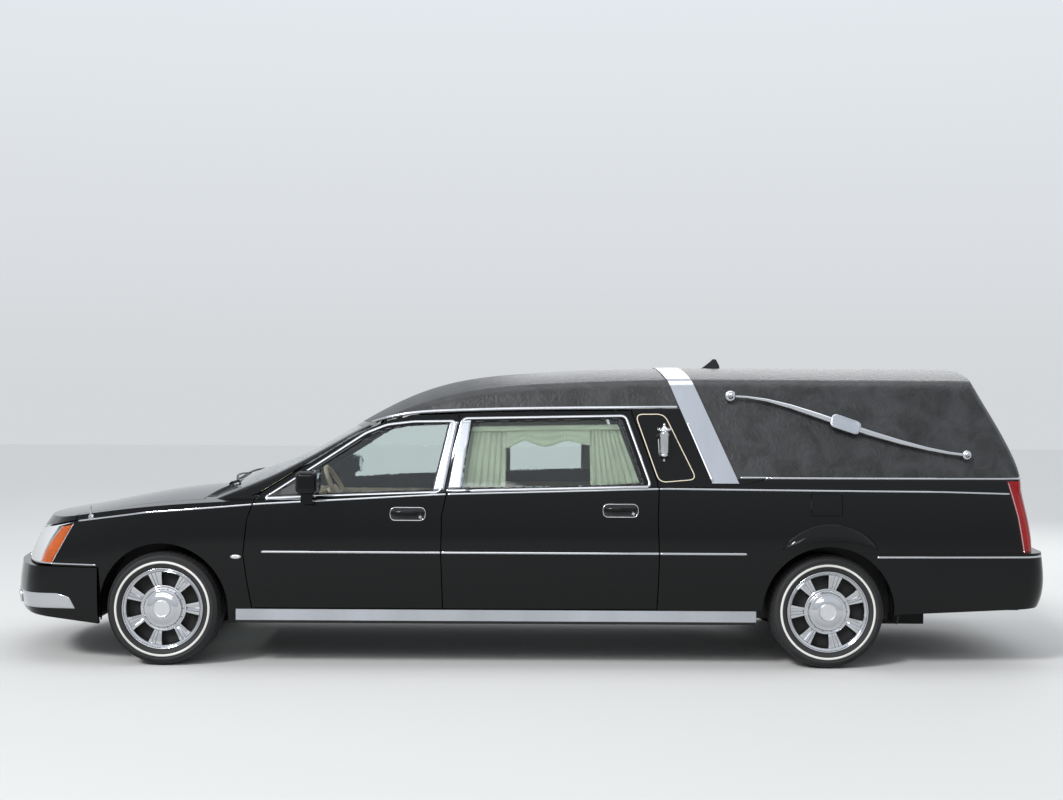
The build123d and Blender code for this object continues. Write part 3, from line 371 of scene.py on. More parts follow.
class MeshBag:
    """Collects many small shapes into one mesh. Each shape's call returns the bag itself."""

    def __init__(self) -> None:
        self.verts: list[Point] = []
        self.faces: list[tuple[int, ...]] = []

    def add(self, verts: list[Point], faces: list[Face]) -> "MeshBag":
        """Adds one shape's points and faces."""
        base = len(self.verts)
        self.verts.extend(tuple(v) for v in verts)
        self.faces.extend(tuple(i + base for i in f) for f in faces)
        return self

    def build(self, name: str, finish: str, body: str | None = COACH, smooth: bool = True,
              thick: float = 0.0) -> bpy.types.Object:
        """Makes the object at the origin, and lets it ride its body.

        Args:
            name: The piece's name.
            finish: The finish's name.
            body: The body it rides on, or None for a piece that is placed later.
            smooth: Whether faces are shaded smooth.
            thick: How far open cloth or sheet is thickened.

        Returns:
            The new object.
        """
        mesh = bpy.data.meshes.new(name)
        mesh.from_pydata(self.verts, [], self.faces)
        mesh.validate()
        mesh.update()
        mesh.polygons.foreach_set("use_smooth", [smooth] * len(mesh.polygons))
        obj = link(name, mesh)
        mesh.materials.append(SHOP.get(finish))
        if body:
            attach(obj, body)
        if thick:
            obj.modifiers.new("cloth", "SOLIDIFY").thickness = thick
            apply_modifiers(obj)
        return obj

    def strip(self, run: list[Hit], width: float, height: float, closed: bool = False) -> "MeshBag":
        """Adds a half-round moulding that follows the skin.

        Args:
            run: The skin points along its middle.
            width: Its width on the skin.
            height: How far its crown stands out.
            closed: Whether its ends meet.
        """
        foot = -0.001 / height
        section = [(-0.5, foot), (-0.46, 0.45), (-0.25, 0.9), (0, 1), (0.25, 0.9), (0.46, 0.45), (0.5, foot)]
        count, m = len(run), len(section)
        verts = []
        for i, hit in enumerate(run):
            before = run[i - 1] if i or closed else run[0]
            after = run[(i + 1) % count] if i < count - 1 or closed else run[-1]
            across = hit.normal.cross((after.point - before.point).normalized()).normalized()
            out = hit.normal.normalized()
            verts += [hit.point + across * (u * width) + out * (v * height) for u, v in section]
        faces = grid_faces(count, m, loop=closed)
        if not closed:
            faces += [tuple(range(m - 1, -1, -1)), tuple(range((count - 1) * m, count * m))]
        return self.add(verts, faces)

    def patch(self, skin_point: Caster, columns: int, rows: int, height: Height) -> "MeshBag":
        """Adds a raised patch that follows the skin, closed down to it along its border.

        Args:
            skin_point: Gives the Hit for (u, v), each from 0 to 1. A patch that misses the skin isn't made.
            columns: Faces along u.
            rows: Faces along v.
            height: How far it stands out, in metres, or a function that gives it at (u, v).
        """
        spots = [(c / columns, r / rows) for c in range(columns + 1) for r in range(rows + 1)]
        hits = [skin_point(u, v) for u, v in spots]
        if None in hits:
            return self
        top = [hit.out(height(u, v) if callable(height) else height) for hit, (u, v) in zip(hits, spots)]
        border = grid_border(columns, rows)
        base, count = len(top), len(border)
        faces = grid_faces(columns + 1, rows + 1, turn=True)
        for k in range(count):
            n = (k + 1) % count
            faces.append((border[n], border[k], base + k, base + n))
        return self.add(top + [hits[i].out(-0.0015) for i in border], faces)

    def revolve(self, profile: Line, steps: int, base: float = 0.0) -> "MeshBag":
        """Adds a profile of (radius, y), with y counted from a base, turned about the Y axis."""
        verts = []
        for angle in (math.tau * i / steps for i in range(steps)):
            verts += [(r * math.sin(angle), base + y, r * math.cos(angle)) for r, y in profile]
        return self.add(verts, grid_faces(steps, len(profile), loop=True, turn=True))

    def box(self, low: Point, high: Point, bevel: float) -> "MeshBag":
        """Adds a box with its edges cut back."""
        bm = bmesh.new()
        bmesh.ops.create_cube(bm, size=1.0)
        for v in bm.verts:
            v.co = Vector(l + (h - l) * (c + 0.5) for l, h, c in zip(low, high, v.co))
        bmesh.ops.bevel(bm, geom=list(bm.edges), offset=bevel, segments=2, affect="EDGES", profile=0.7)
        bm.verts.ensure_lookup_table()
        self.add([v.co[:] for v in bm.verts], [[v.index for v in f.verts] for f in bm.faces])
        bm.free()
        return self

    def tube(self, path: list[Point], radius: float | list[float], sides: int) -> "MeshBag":
        """Adds a round tube along a path, its radius a number or one number for each point."""
        points = [Vector(p) for p in path]
        count = len(points)
        radii = [radius] * count if isinstance(radius, float) else radius
        up = Vector((0.137, 0.29, 0.94))
        verts = []
        for i, p in enumerate(points):
            along = (points[min(i + 1, count - 1)] - points[max(i - 1, 0)]).normalized()
            u = along.cross(up).normalized()
            v = along.cross(u).normalized()
            for a in (math.tau * k / sides for k in range(sides)):
                verts.append(p + (u * math.cos(a) + v * math.sin(a)) * radii[i])
        ends = [tuple(range(sides)), tuple(range(count * sides - 1, (count - 1) * sides - 1, -1))]
        return self.add(verts, grid_faces(count, sides, ring=True) + ends)

    def discs(self, rings: list[list[Point]], cap: bool = False) -> "MeshBag":
        """Adds closed rings of points joined one to the next, with the last one filled if cap is set."""
        m = len(rings[0])
        faces = grid_faces(len(rings), m, ring=True)
        if cap:
            faces.append(tuple(range((len(rings) - 1) * m, len(rings) * m)))
        return self.add([p for ring in rings for p in ring], faces)


def bags(count: int) -> list[MeshBag]:
    """Returns new empty bags."""
    return [MeshBag() for _ in range(count)]


def stand_for(obj: bpy.types.Object, node: str) -> None:
    """Hides the CAD node that a piece stands for."""
    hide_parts(node)


def log_piece(group: str, count: int) -> None:
    """Logs what a sub-assembly made."""
    log.info("%s: %d pieces", group, count)


class Skin:
    """Finds points on the coach's outer skin, and which CAD node they are on."""

    def __init__(self, nodes: dict[str, bpy.types.Object], left_out: tuple[str, ...] = ()) -> None:
        self.names: list[str] = []
        verts, faces = [], []
        for name, obj in nodes.items():
            if left_out and name.startswith(left_out):
                continue
            base = len(verts)
            verts += [v.co.copy() for v in obj.data.vertices]
            faces += [[base + i for i in polygon.vertices] for polygon in obj.data.polygons]
            self.names += [name] * len(obj.data.polygons)
        self.tree = BVHTree.FromPolygons(verts, faces)

    def cast(self, start: Point, way: Point) -> Hit | None:
        """Returns the first hit of a ray, with its normal turned towards the ray's start."""
        way = Vector(way).normalized()
        point, normal, index, _ = self.tree.ray_cast(Vector(start), way)
        if point is None:
            return None
        return Hit(point, -normal if normal.dot(way) > 0 else normal, self.names[index])

    def side(self, x: float, z: float, side: Side) -> Hit | None:
        """Returns the skin beside (x, z), seen square from one side."""
        return self.cast((x, side.value * 3.0, z), (0, -side.value, 0))

    def top(self, x: float, y: float) -> Hit | None:
        """Returns the skin under (x, y), seen from above."""
        return self.cast((x, y, 4.0), (0, 0, -1))

    def rear(self, y: float, z: float) -> Hit | None:
        """Returns the skin at (y, z), seen from behind."""
        return self.cast((6.0, y, z), (-1, 0, 0))

    def front(self, y: float, z: float) -> Hit | None:
        """Returns the skin at (y, z), seen from ahead."""
        return self.cast((-6.0, y, z), (1, 0, 0))


LEFT_OUT = ("mirror", "landau", "coach_lamps", "tyre", "rim_", "antenna", "knuckle", "hinges")
FITTINGS = ("front_seats", "curtain", "steering", "dashboard", "casket_deck", "engine", "pillars", "fuel",
            "wheel_tubs")
SKIN = Skin(frame["nodes"], LEFT_OUT)
INNER = Skin(frame["nodes"], LEFT_OUT + FITTINGS)
NODE_BODY = {node: body for body, nodes in frame["record"]["behaviour"]["bodies"].items() for node in nodes}
# Where the upright axes stand that the rounded nose is measured from.
NOSE_X = -2.45


def front_bearing(side: Side, middle: float) -> Callable[[float, float], Hit]:
    """Returns a function that gives the skin round an upright axis in the nose.

    Args:
        side: The side that it looks to.
        middle: How far the axis stands from the middle plane.

    Returns:
        hit(angle, z), with the angle counted from square sideways to straight ahead.
    """
    axis = Vector((NOSE_X, side.value * middle, 0.0))

    def hit(angle: float, z: float) -> Hit:
        """Returns the skin in a direction at a height."""
        way = Vector((-math.sin(angle), side.value * math.cos(angle), 0))
        return SKIN.cast(axis + way * 1.6 + Vector((0, 0, z)), -way)

    return hit


def halve(wanted: Callable[[float], bool]) -> float:
    """Returns the angle between 4 and 88 degrees at which wanted(angle) turns true."""
    low, high = math.radians(4), math.radians(88)
    for _ in range(22):
        middle = (low + high) / 2
        low, high = (low, middle) if wanted(middle) else (middle, high)
    return (low + high) / 2


class Moulder:
    """Lays mouldings on the skin, split so that each part rides its own body."""

    step = 0.012

    def same(self, a: Hit | None, b: Hit | None) -> bool:
        """Says whether two skin points are neighbours on one node."""
        if a is None or b is None:
            return False
        return a.node == b.node and (a.point - b.point).length < self.step * 2.2

    def edge(self, good: Point, bad: Point, hit: Hit, cast: Caster) -> Hit:
        """Returns the last skin point of hit's node on the way from good to bad."""
        last = hit
        for _ in range(5):
            middle = tuple((u + v) / 2 for u, v in zip(good, bad))
            probe = cast(*middle)
            if self.same(probe, hit):
                good, last = middle, probe
            else:
                bad = middle
        return last

    def runs(self, line: Line, cast: Caster) -> list[tuple[str, list[Hit]]]:
        """Splits a line into runs of skin points on one node each.

        Args:
            line: The points along it, in the view that it is drawn in.
            cast: Gives the skin point for a point of the line.

        Returns:
            Pairs of a node's name and its skin points.
        """
        found = [(p, cast(*p)) for p in resample(line, self.step)]
        result: list[tuple[str, list[Hit]]] = []
        for (p, a), (q, b) in zip(found, found[1:]):
            if self.same(a, b):
                if not result or result[-1][1][-1] is not a:
                    result.append((a.node, [a]))
                result[-1][1].append(b)
                continue
            if a is not None and result and result[-1][1][-1] is a:
                result[-1][1].append(self.edge(p, q, a, cast))
            if b is not None:
                result.append((b.node, [self.edge(q, p, b, cast), b]))
        return [(node, run) for node, run in result
                if len(run) > 1 and (run[0].point - run[-1].point).length > 0.004 or len(run) > 8]

    def lay(self, name: str, line: Line, width: float, height: float, finish: str = "chrome",
            only: tuple = ()) -> None:
        """Lays one kind of moulding on both sides and makes an object for each body that it is on.

        Args:
            name: The piece's name, to which its body is added.
            line: Its line in side view.
            width: Its width.
            height: Its height.
            finish: The finish's name.
            only: Node names that it may lie on, or nothing for all.
        """
        made: dict[str, MeshBag] = {}
        for side in Side:
            for node, run in self.runs(line, lambda x, z: SKIN.side(x, z, side)):
                if not only or node.startswith(only):
                    made.setdefault(NODE_BODY[node], MeshBag()).strip(run, width, height)
        for body, bag in made.items():
            bag.build(f"{name}_{body}", finish, body)
        log_piece(name, len(made))


MOULDER = Moulder()


def radial_repeat(seed: bpy.types.Object, count: int) -> bpy.types.Object:
    """Repeats a seed piece around the Y axis with Geometry Nodes and makes it plain mesh.

    Args:
        seed: One piece, placed for angle zero about the Y axis through the origin.
        count: How many to make.

    Returns:
        The same object, with all its copies in its mesh.
    """
    tree = bpy.data.node_groups.new("radial_repeat", "GeometryNodeTree")
    face = tree.interface
    face.new_socket("Geometry", in_out="INPUT", socket_type="NodeSocketGeometry")
    count_in = face.new_socket("Count", in_out="INPUT", socket_type="NodeSocketInt")
    face.new_socket("Geometry", in_out="OUTPUT", socket_type="NodeSocketGeometry")
    graph = Graph(tree)
    source = graph.add("NodeGroupInput").outputs
    line = graph.add("GeometryNodeMeshLine", {"Offset": (0, 0, 0), "Count": source[1]})
    share = graph.maths("DIVIDE", graph.add("GeometryNodeInputIndex").outputs[0], source[1])
    turn = graph.add("ShaderNodeCombineXYZ", {"Y": graph.maths("MULTIPLY", share, math.tau)})
    scatter = graph.add("GeometryNodeInstanceOnPoints", {
        "Points": line.outputs[0], "Instance": source[0], "Rotation": turn.outputs[0]})
    real = graph.add("GeometryNodeRealizeInstances", {0: scatter.outputs[0]})
    paint = graph.add("GeometryNodeSetMaterial",
                      {"Geometry": real.outputs[0], "Material": seed.data.materials[0]})
    graph.add("NodeGroupOutput", {0: paint.outputs[0]})
    modifier = seed.modifiers.new("repeat", "NODES")
    modifier.node_group = tree
    modifier[count_in.identifier] = count
    return apply_modifiers(seed)


NODE_FINISH = {
    "antenna": "black", "casket_deck": "steel", "coach_lamps": "chrome", "curtain": "drape",
    "dashboard": "trim", "engine_block": "iron", "exhaust": "iron", "fender": "paint", "firewall": "black",
    "floor_pan": "black", "fog_lamps": "chrome", "front_bumper": "paint", "front_door": "paint",
    "front_frame": "iron", "front_glass": "glass", "front_seats": "leather", "fuel_cap": "black",
    "fuel_door": "paint", "fuel_tank": "void", "grille": "chrome", "headlamps": "lens",
    "hinges_and_stops": "black", "hood": "paint", "knuckle": "iron", "landau_bars": "chrome",
    "load_door": "paint", "load_glass": "glass", "mirror": "paint", "pillars": "trim", "quarter": "paint",
    "rear_axle": "iron", "rear_bumper": "paint", "rear_door": "paint", "rear_glass": "glass",
    "rim": "chrome", "rocker_trim": "satin", "roof": "vinyl", "roof_band": "satin",
    "steering_column": "trim", "steering_wheel": "leather", "tail_lamps": "red", "tyre": "rubber",
    "wheel_tubs": "black", "windshield": "glass", "windshield_frame": "paint",
}


def paint_cad(nodes: dict[str, bpy.types.Object]) -> None:
    """Gives each CAD node its finish, and shades its glass flat, so that nothing behind it ripples."""
    for name, obj in nodes.items():
        finish = NODE_FINISH[max((k for k in NODE_FINISH if name.startswith(k)), key=len)]
        obj.data.materials.clear()
        obj.data.materials.append(SHOP.get(finish))
        for polygon in obj.data.polygons:
            polygon.material_index = 0
        if finish == "glass":
            if obj.data.has_custom_normals:
                obj.data.attributes.remove(obj.data.attributes["custom_normal"])
            obj.data.shade_flat()
    log_piece("finishes on CAD nodes", len(nodes))


@dataclass
class CameraRig:
    """The camera of the photograph.

    Args:
        place: Where it stands, in metres.
        focal_px: Its focal length in pixels of a frame_px wide frame.
        frame_px: That frame's width.
        pitch: Degrees downwards.
        roll: Degrees counter-clockwise.
        sensor: Width of its sensor in millimetres.
    """

    place: Point = (0.068, -9.157, 1.647)
    focal_px: float = 1404.0
    frame_px: float = 1063.0
    pitch: float = 0.49
    roll: float = 0.3
    sensor: float = 36.0

    def build(self) -> None:
        """Makes the camera and makes it the scene's own."""
        data = bpy.data.cameras.new("photo_camera")
        data.sensor_width = self.sensor
        data.lens = self.sensor * self.focal_px / self.frame_px
        data.clip_start, data.clip_end = 0.05, 200.0
        data.dof.use_dof = False
        camera = bpy.data.objects.new("photo_camera", data)
        pitch = Matrix.Rotation(math.radians(90 - self.pitch), 4, "X")
        turn = pitch @ Matrix.Rotation(math.radians(self.roll), 4, "Z")
        camera.matrix_world = Matrix.Translation(self.place) @ turn
        bpy.context.scene.collection.objects.link(camera)
        bpy.context.scene.camera = camera


@dataclass
class Studio:
    """Floor and light around the coach.

    Args:
        floor_size: Length of the floor's sides.
        floor_colour: Its colour.
        sun_strength: Strength of the sun.
        sky_low: Colour of the sky at the horizon.
        sky_high: Its colour higher up.
        sky_light: How strongly the sky lights the coach, where 1 is how bright it looks.
    """

    floor_size: float = 60.0
    floor_colour: Point = (0.66, 0.66, 0.65)
    sun_strength: float = 1.7
    sky_low: Point = (0.66, 0.68, 0.70)
    sky_high: Point = (0.86, 0.91, 0.97)
    sky_light: float = 0.62

    def lamp(self, name: str, kind: str, energy: float) -> bpy.types.Object:
        """Makes one lamp that belongs to the stage."""
        light = link(name, bpy.data.lights.new(name, kind))
        light.data.energy = energy
        return light

    def build(self) -> None:
        """Makes the floor, the sun, three soft panels and the sky."""
        half = self.floor_size / 2
        corners = [(x, y, 0) for x, y in box_corners(-half, half, -half, half)]
        floor = MeshBag().add(corners, [(0, 1, 2, 3)]).build("studio_floor", "white", None, False)
        material = bpy.data.materials.new("studio_floor")
        material.use_nodes = True
        shader = material.node_tree.nodes["Principled BSDF"]
        Graph(material.node_tree).feed(shader, {"Base Color": (*self.floor_colour, 1), "Roughness": 0.85})
        floor.data.materials[0] = material
        sun = self.lamp("studio_sun", "SUN", self.sun_strength)
        sun.data.angle = math.radians(12)
        sun.rotation_euler = [math.radians(a) for a in (48, -12, -28)]
        for name, place, size, energy in (
            ("studio_key", (-3.0, -7.5, 5.5), (9.0, 2.2), 210.0),
            ("studio_fill", (3.5, 7.5, 5.0), (9.0, 3.0), 220.0),
            ("studio_top", (0.0, 0.0, 7.0), (9.0, 3.0), 150.0),
        ):
            light = self.lamp(name, "AREA", energy)
            light.data.shape = "RECTANGLE"
            light.data.size, light.data.size_y = size
            light.location = place
            light.rotation_euler = (Vector((0, 0, 0.8)) - Vector(place)).to_track_quat("-Z", "Y").to_euler()
        world = bpy.data.worlds.new("studio_sky")
        bpy.context.scene.world = world
        world.use_nodes = True
        graph = Graph(world.node_tree)
        split = graph.add("ShaderNodeSeparateXYZ",
                          {"Vector": graph.add("ShaderNodeTexCoord").outputs["Generated"]})
        sky = graph.ramp(split.outputs["Z"], [(0.0, self.sky_low), (0.45, self.sky_high)])
        ray = graph.add("ShaderNodeLightPath").outputs
        seen = graph.maths("MAXIMUM", ray["Is Camera Ray"], ray["Is Transmission Ray"])
        plain = graph.maths("MAXIMUM", seen, ray["Is Glossy Ray"])
        strength = graph.add("ShaderNodeMapRange", {"To Min": self.sky_light, "To Max": 1.0, "Value": plain})
        graph.feed(world.node_tree.nodes["Background"],
                   {"Color": sky, "Strength": strength.outputs["Result"]})
        view = bpy.context.scene.view_settings
        view.view_transform, view.look, view.exposure = "Standard", "None", 0.0


# Mouldings on the sides: name, line in side view, width, height, finish, nodes that they may lie on.
SIDE_LINES = (
    ("belt_moulding", [(-2.622, 0.843), (-2.205, 0.902), (-1.53, 0.959), (-0.43, 1.021), (0.85, 1.058),
                       (2.5, 1.046), (2.90, 1.035)], 0.010, 0.003, "chrome", ()),
    ("lower_moulding", [(-1.51, 0.680), (1.333, 0.680)], 0.014, 0.005, "chrome", ()),
    ("drip_moulding", smooth_line([(-0.90, 1.437), (-0.78, 1.474), (-0.62, 1.500), (-0.36, 1.513),
                                   (0.035, 1.525), (0.64, 1.533), (0.945, 1.536)], 2),
     0.017, 0.006, "chrome", ()),
    ("vinyl_hem", [(1.304, 1.123), (3.017, 1.123)], 0.012, 0.005, "chrome", ("roof", "quarter")),
    ("rear_bumper_line", [(2.10, 0.664), (3.10, 0.664)], 0.012, 0.005, "chrome", ("rear_bumper",)),
    ("front_bumper_line", [(-2.920, 0.586), (-2.505, 0.586)], 0.010, 0.004, "chrome",
     ("headlamps", "fender")),
    ("front_window_frame", rounded_loop([(-1.517, 0.985), (-0.983, 1.010), (-0.470, 1.030), (-0.386, 1.446),
                                         (-0.64, 1.441), (-0.80, 1.422), (-0.93, 1.370)], 0.03),
     0.015, 0.004, "chrome", ("front_door", "front_glass")),
    ("rear_window_frame",
     rounded_loop([(-0.449, 1.038), (0.775, 1.069), (0.633, 1.483), (-0.344, 1.462)], 0.03), 0.015, 0.004,
     "chrome", ("rear_door", "rear_glass")),
    ("panel_line", rounded_loop([(0.692, 1.492), (0.866, 1.494), (1.046, 1.112), (0.826, 1.093)], 0.045),
     0.006, 0.0012, "cream", ("quarter",)),
)
GASKETS = (
    ("front_window_gasket", rounded_loop([(-1.478, 0.996), (-0.985, 1.022), (-0.513, 1.042), (-0.427, 1.430),
                                          (-0.640, 1.420), (-0.830, 1.392), (-0.940, 1.340)], 0.014),
     0.010, 0.0018, "black", ("front_door", "front_glass")),
    ("rear_window_gasket",
     rounded_loop([(-0.352, 1.050), (0.735, 1.080), (0.606, 1.464), (-0.288, 1.442)], 0.014), 0.010, 0.0018,
     "black", ("rear_door", "rear_glass")),
)


@dataclass
class Mouldings:
    """The thin lines on the coach's sides and the bright covers beside the middle pillar.

    Args:
        front_cover: Corners of the front doors' cover, in side view.
        rear_cover: Corners of the rear doors' cover.
    """

    front_cover: tuple = ((-0.512, 1.036), (-0.437, 1.040), (-0.367, 1.442), (-0.420, 1.440))
    rear_cover: tuple = ((-0.424, 1.046), (-0.338, 1.050), (-0.294, 1.452), (-0.354, 1.450))

    def build(self) -> None:
        """Lays every moulding and both doors' covers."""
        for line in SIDE_LINES:
            MOULDER.lay(*line)
        for side in Side:
            for door, corners in (("front_door", self.front_cover), ("rear_door", self.rear_cover)):
                body = f"{door}_{side.label}"
                bag = MeshBag().patch(lambda u, v: SKIN.side(*quad(corners, u, v), side), 6, 24, 0.0030)
                bag.build(f"pillar_cover_{body}", "satin", body)
        log_piece("pillar covers", 4)


@dataclass
class RoofBand:
    """The two edge beads of the bright band over the roof.

    Args:
        bead: Width of the beads.
        foot: First and last x of the band at its foot.
        foot_z: Height of its foot.
        slope: How far the band leans forward for each metre upward.
        inset: How far the beads lie inside its edges.
    """

    bead: float = 0.016
    foot: tuple[float, float] = (1.143, 1.302)
    foot_z: float = 1.073
    slope: float = (0.877 - 1.143) / (1.735 - 1.073)
    inset: float = 0.008

    def build(self) -> None:
        """Lays the beads along both edges of the band, over the roof from side to side."""
        bag = MeshBag()
        band = Skin({"roof_band": frame["nodes"]["roof_band"]})
        for foot in (self.foot[0] + self.inset, self.foot[1] - self.inset):
            run = []
            for angle in (math.radians(-14 + 208 * k / 240) for k in range(241)):
                way = Vector((0, -math.cos(angle), math.sin(angle)))
                x, hit = foot, None
                for _ in range(6):
                    hit = band.cast(Vector((x, 0, 1.28)) + way * 2.0, -way)
                    if hit is None:
                        break
                    x = foot + self.slope * (min(hit.point.z, 1.9) - self.foot_z)
                if hit is not None:
                    run.append(hit)
            bag.strip(run, self.bead, 0.004)
        bag.build("roof_band_beads", "chrome")
        log_piece("roof band beads", 1)


@dataclass
class ArchFlare:
    """The crescent that stands out over each rear wheel.

    Args:
        left_end: Its front end in side view.
        right_end: Its rear end.
        rise: Its height in the middle.
        depth: How far its lower edge stands out.
    """

    left_end: Point = (1.545, 0.706)
    right_end: Point = (2.105, 0.712)
    rise: float = 0.145
    depth: float = 0.034

    def lift(self, u: float, v: float) -> float:
        """Returns how far the crescent stands out at (u, v)."""
        ends = max(0.0, 1 - (2 * u - 1) ** 8)
        fall = max(0.0, math.cos(v * math.pi / 2)) ** 0.8
        return 0.0015 + self.depth * ends * fall * min(1.0, v / 0.06 + 0.35)

    def build(self) -> None:
        """Makes one crescent on each side."""
        for side in Side:

            def point(u: float, v: float) -> Hit | None:
                """Returns the skin within the crescent at (u, v)."""
                x, base = lerp(self.left_end, self.right_end, u)
                bow = 1 - (2 * u - 1) ** 2
                low, high = base + 0.052 * bow, base + 0.004 + self.rise * bow ** 0.75
                return SKIN.side(x, low + (high - low) * v, side)

            MeshBag().patch(point, 60, 20, self.lift).build(f"arch_flare_{side.label}", "paint")
        log_piece("arch flares", 2)


@dataclass
class QuarterPlate:
    """The flush plate that closes the right quarter, which has no fuel door.

    Args:
        span: First and last x of the plate.
        rise: First and last z of the plate.
    """

    span: tuple[float, float] = (1.7055, 1.9045)
    rise: tuple[float, float] = (0.8985, 1.0405)

    def build(self) -> None:
        """Makes the plate, stretched between the panel's own surface on its four sides."""
        x0, x1, z0, z1 = *self.span, *self.rise

        def edge(x: float, z: float) -> Vector:
            """Returns the panel's own surface at (x, z)."""
            return SKIN.side(x, z, Side.RIGHT).point

        def point(u: float, v: float) -> Hit:
            """Returns the plate's surface at (u, v), stretched between its edges."""
            x, z = x0 + (x1 - x0) * u, z0 + (z1 - z0) * v
            across = edge(x, z0).lerp(edge(x, z1), v) + edge(x0, z).lerp(edge(x1, z), u)
            corners = edge(x0, z0).lerp(edge(x1, z0), u).lerp(edge(x0, z1).lerp(edge(x1, z1), u), v)
            return Hit(across - corners, SKIN.side(x0, z, Side.RIGHT).normal, "quarter_right")

        MeshBag().patch(point, 24, 16, 0.0002).build("quarter_plate_right", "paint")
        log_piece("quarter plate", 1)


@dataclass
class Handles:
    """Pull handles of the side doors.

    Args:
        front: Middle of the front doors' handle, x and z.
        rear: Middle of the rear doors' handle.
        length: Length of the cup.
        height: Height of the cup.
        round: Radius of the cup's corners.
    """

    front: tuple[float, float] = (-0.654, 0.905)
    rear: tuple[float, float] = (0.594, 0.930)
    length: float = 0.205
    height: float = 0.074
    round: float = 0.034

    def build(self) -> None:
        """Makes a dark cup, a rim, a grip and a lock for each door."""
        for side in Side:
            for door, (x, z) in (("front_door", self.front), ("rear_door", self.rear)):
                body = f"{door}_{side.label}"
                half, rise = self.length / 2, self.height / 2
                outline = rounded_loop(box_corners(x - half, x + half, z - rise, z + rise), self.round, 8)
                hits = [SKIN.side(px, pz, side) for px, pz in outline[:-1]]
                count = len(hits)
                fan = [SKIN.side(x, z, side).out(0.0012)] + [hit.out(0.0012) for hit in hits]
                path, radii = [], []
                for t in (k / 24 for k in range(25)):
                    bow = math.sin(math.pi * t) ** 0.5
                    base = SKIN.side(x + self.length * (0.92 * t - 0.46), z + 0.008, side)
                    path.append(base.out(0.004 + 0.026 * bow))
                    radii.append(0.009 + 0.006 * bow)
                spot = SKIN.side(x + self.length * 0.36, z - 0.018, side)
                cup = MeshBag().add(fan, [(0, 1 + k, 1 + (k + 1) % count) for k in range(count)])
                cup.build(f"handle_cup_{body}", "black", body)
                MeshBag().strip(hits, 0.007, 0.004, closed=True).build(f"handle_rim_{body}", "chrome", body)
                MeshBag().tube(path, radii, 14).build(f"handle_grip_{body}", "paint", body)
                lock = MeshBag().tube([spot.point, spot.out(0.005)], 0.009, 20)
                lock.build(f"handle_lock_{body}", "chrome", body)
        log_piece("door handles", 16)


@dataclass
class LandauBar:
    """The S-shaped bright bar on each rear side, with a plain plate at its middle.

    Args:
        points: Its middle line in side view.
        radii: Its radius at each of them.
        standoff: How far it stands off the skin.
        plate: Half length and half height of the plate.
        levels: The plate's steps, as pairs of scale and height.
    """

    points: tuple = ((1.262, 1.593), (1.36, 1.588), (1.48, 1.570), (1.62, 1.533), (1.78, 1.480),
                     (1.94, 1.425), (2.10, 1.373), (2.26, 1.327), (2.42, 1.288), (2.55, 1.264),
                     (2.654, 1.252))
    radii: tuple = (0.006, 0.007, 0.010, 0.015, 0.019, 0.020, 0.019, 0.016, 0.012, 0.010, 0.009)
    standoff: float = 0.030
    plate: tuple[float, float] = (0.090, 0.042)
    levels: tuple = ((1.0, 0.000), (1.03, 0.014), (1.0, 0.020), (0.90, 0.0225), (0.86, 0.0215), (0.0, 0.0235))

    def build(self) -> None:
        """Makes both bars and stands them for the CAD bars."""
        half, rise = self.plate
        outline = rounded_loop(box_corners(-half, half, -rise, rise), 0.034, 8)[:-1]
        for side in Side:
            path, radii = [], []
            for k in range(81):
                t = k / 80 * (len(self.points) - 1)
                i = min(int(t), len(self.points) - 2)
                f = t - i
                f = f * f * (3 - 2 * f) * 0.5 + f * 0.5
                x, z = lerp(self.points[i], self.points[i + 1], f)
                radii.append(self.radii[i] + (self.radii[i + 1] - self.radii[i]) * f)
                path.append(SKIN.side(x, z, side).out(self.standoff))
            bag = MeshBag().tube(path, radii, 20)
            for place, size in ((path[0], 0.034), (path[-1], 0.030)):
                foot = SKIN.side(place.x, place.z, side).out(-0.004)
                axis = (place - foot).normalized()
                knob = [foot + axis * d for d in (0, 0.006, 0.007)]
                knob += [place + axis * d for d in (-0.012, -0.006, 0.006, 0.014, 0.017)]
                bag.tube(knob, [0.020, 0.020, 0.011, 0.013, size * 0.92, size, size * 0.72, size * 0.2], 32)
            middle = path[40]
            hit = SKIN.side(middle.x, middle.z, side)
            post = [hit.out(-0.004), hit.out(0.006), hit.out(0.007), middle]
            bag.tube(post, [0.022, 0.022, 0.012, 0.012], 24)
            along = (path[44] - path[36]).normalized()
            across = hit.normal.cross(along).normalized()
            rings = [[middle + along * a * scale + across * b * scale + hit.normal * lift for a, b in outline]
                     for scale, lift in self.levels]
            stand_for(bag.build(f"landau_bar_{side.label}", "chrome"), "landau_bars")
            MeshBag().discs(rings).build(f"landau_plate_{side.label}", "satin")
        log_piece("landau bars", 4)


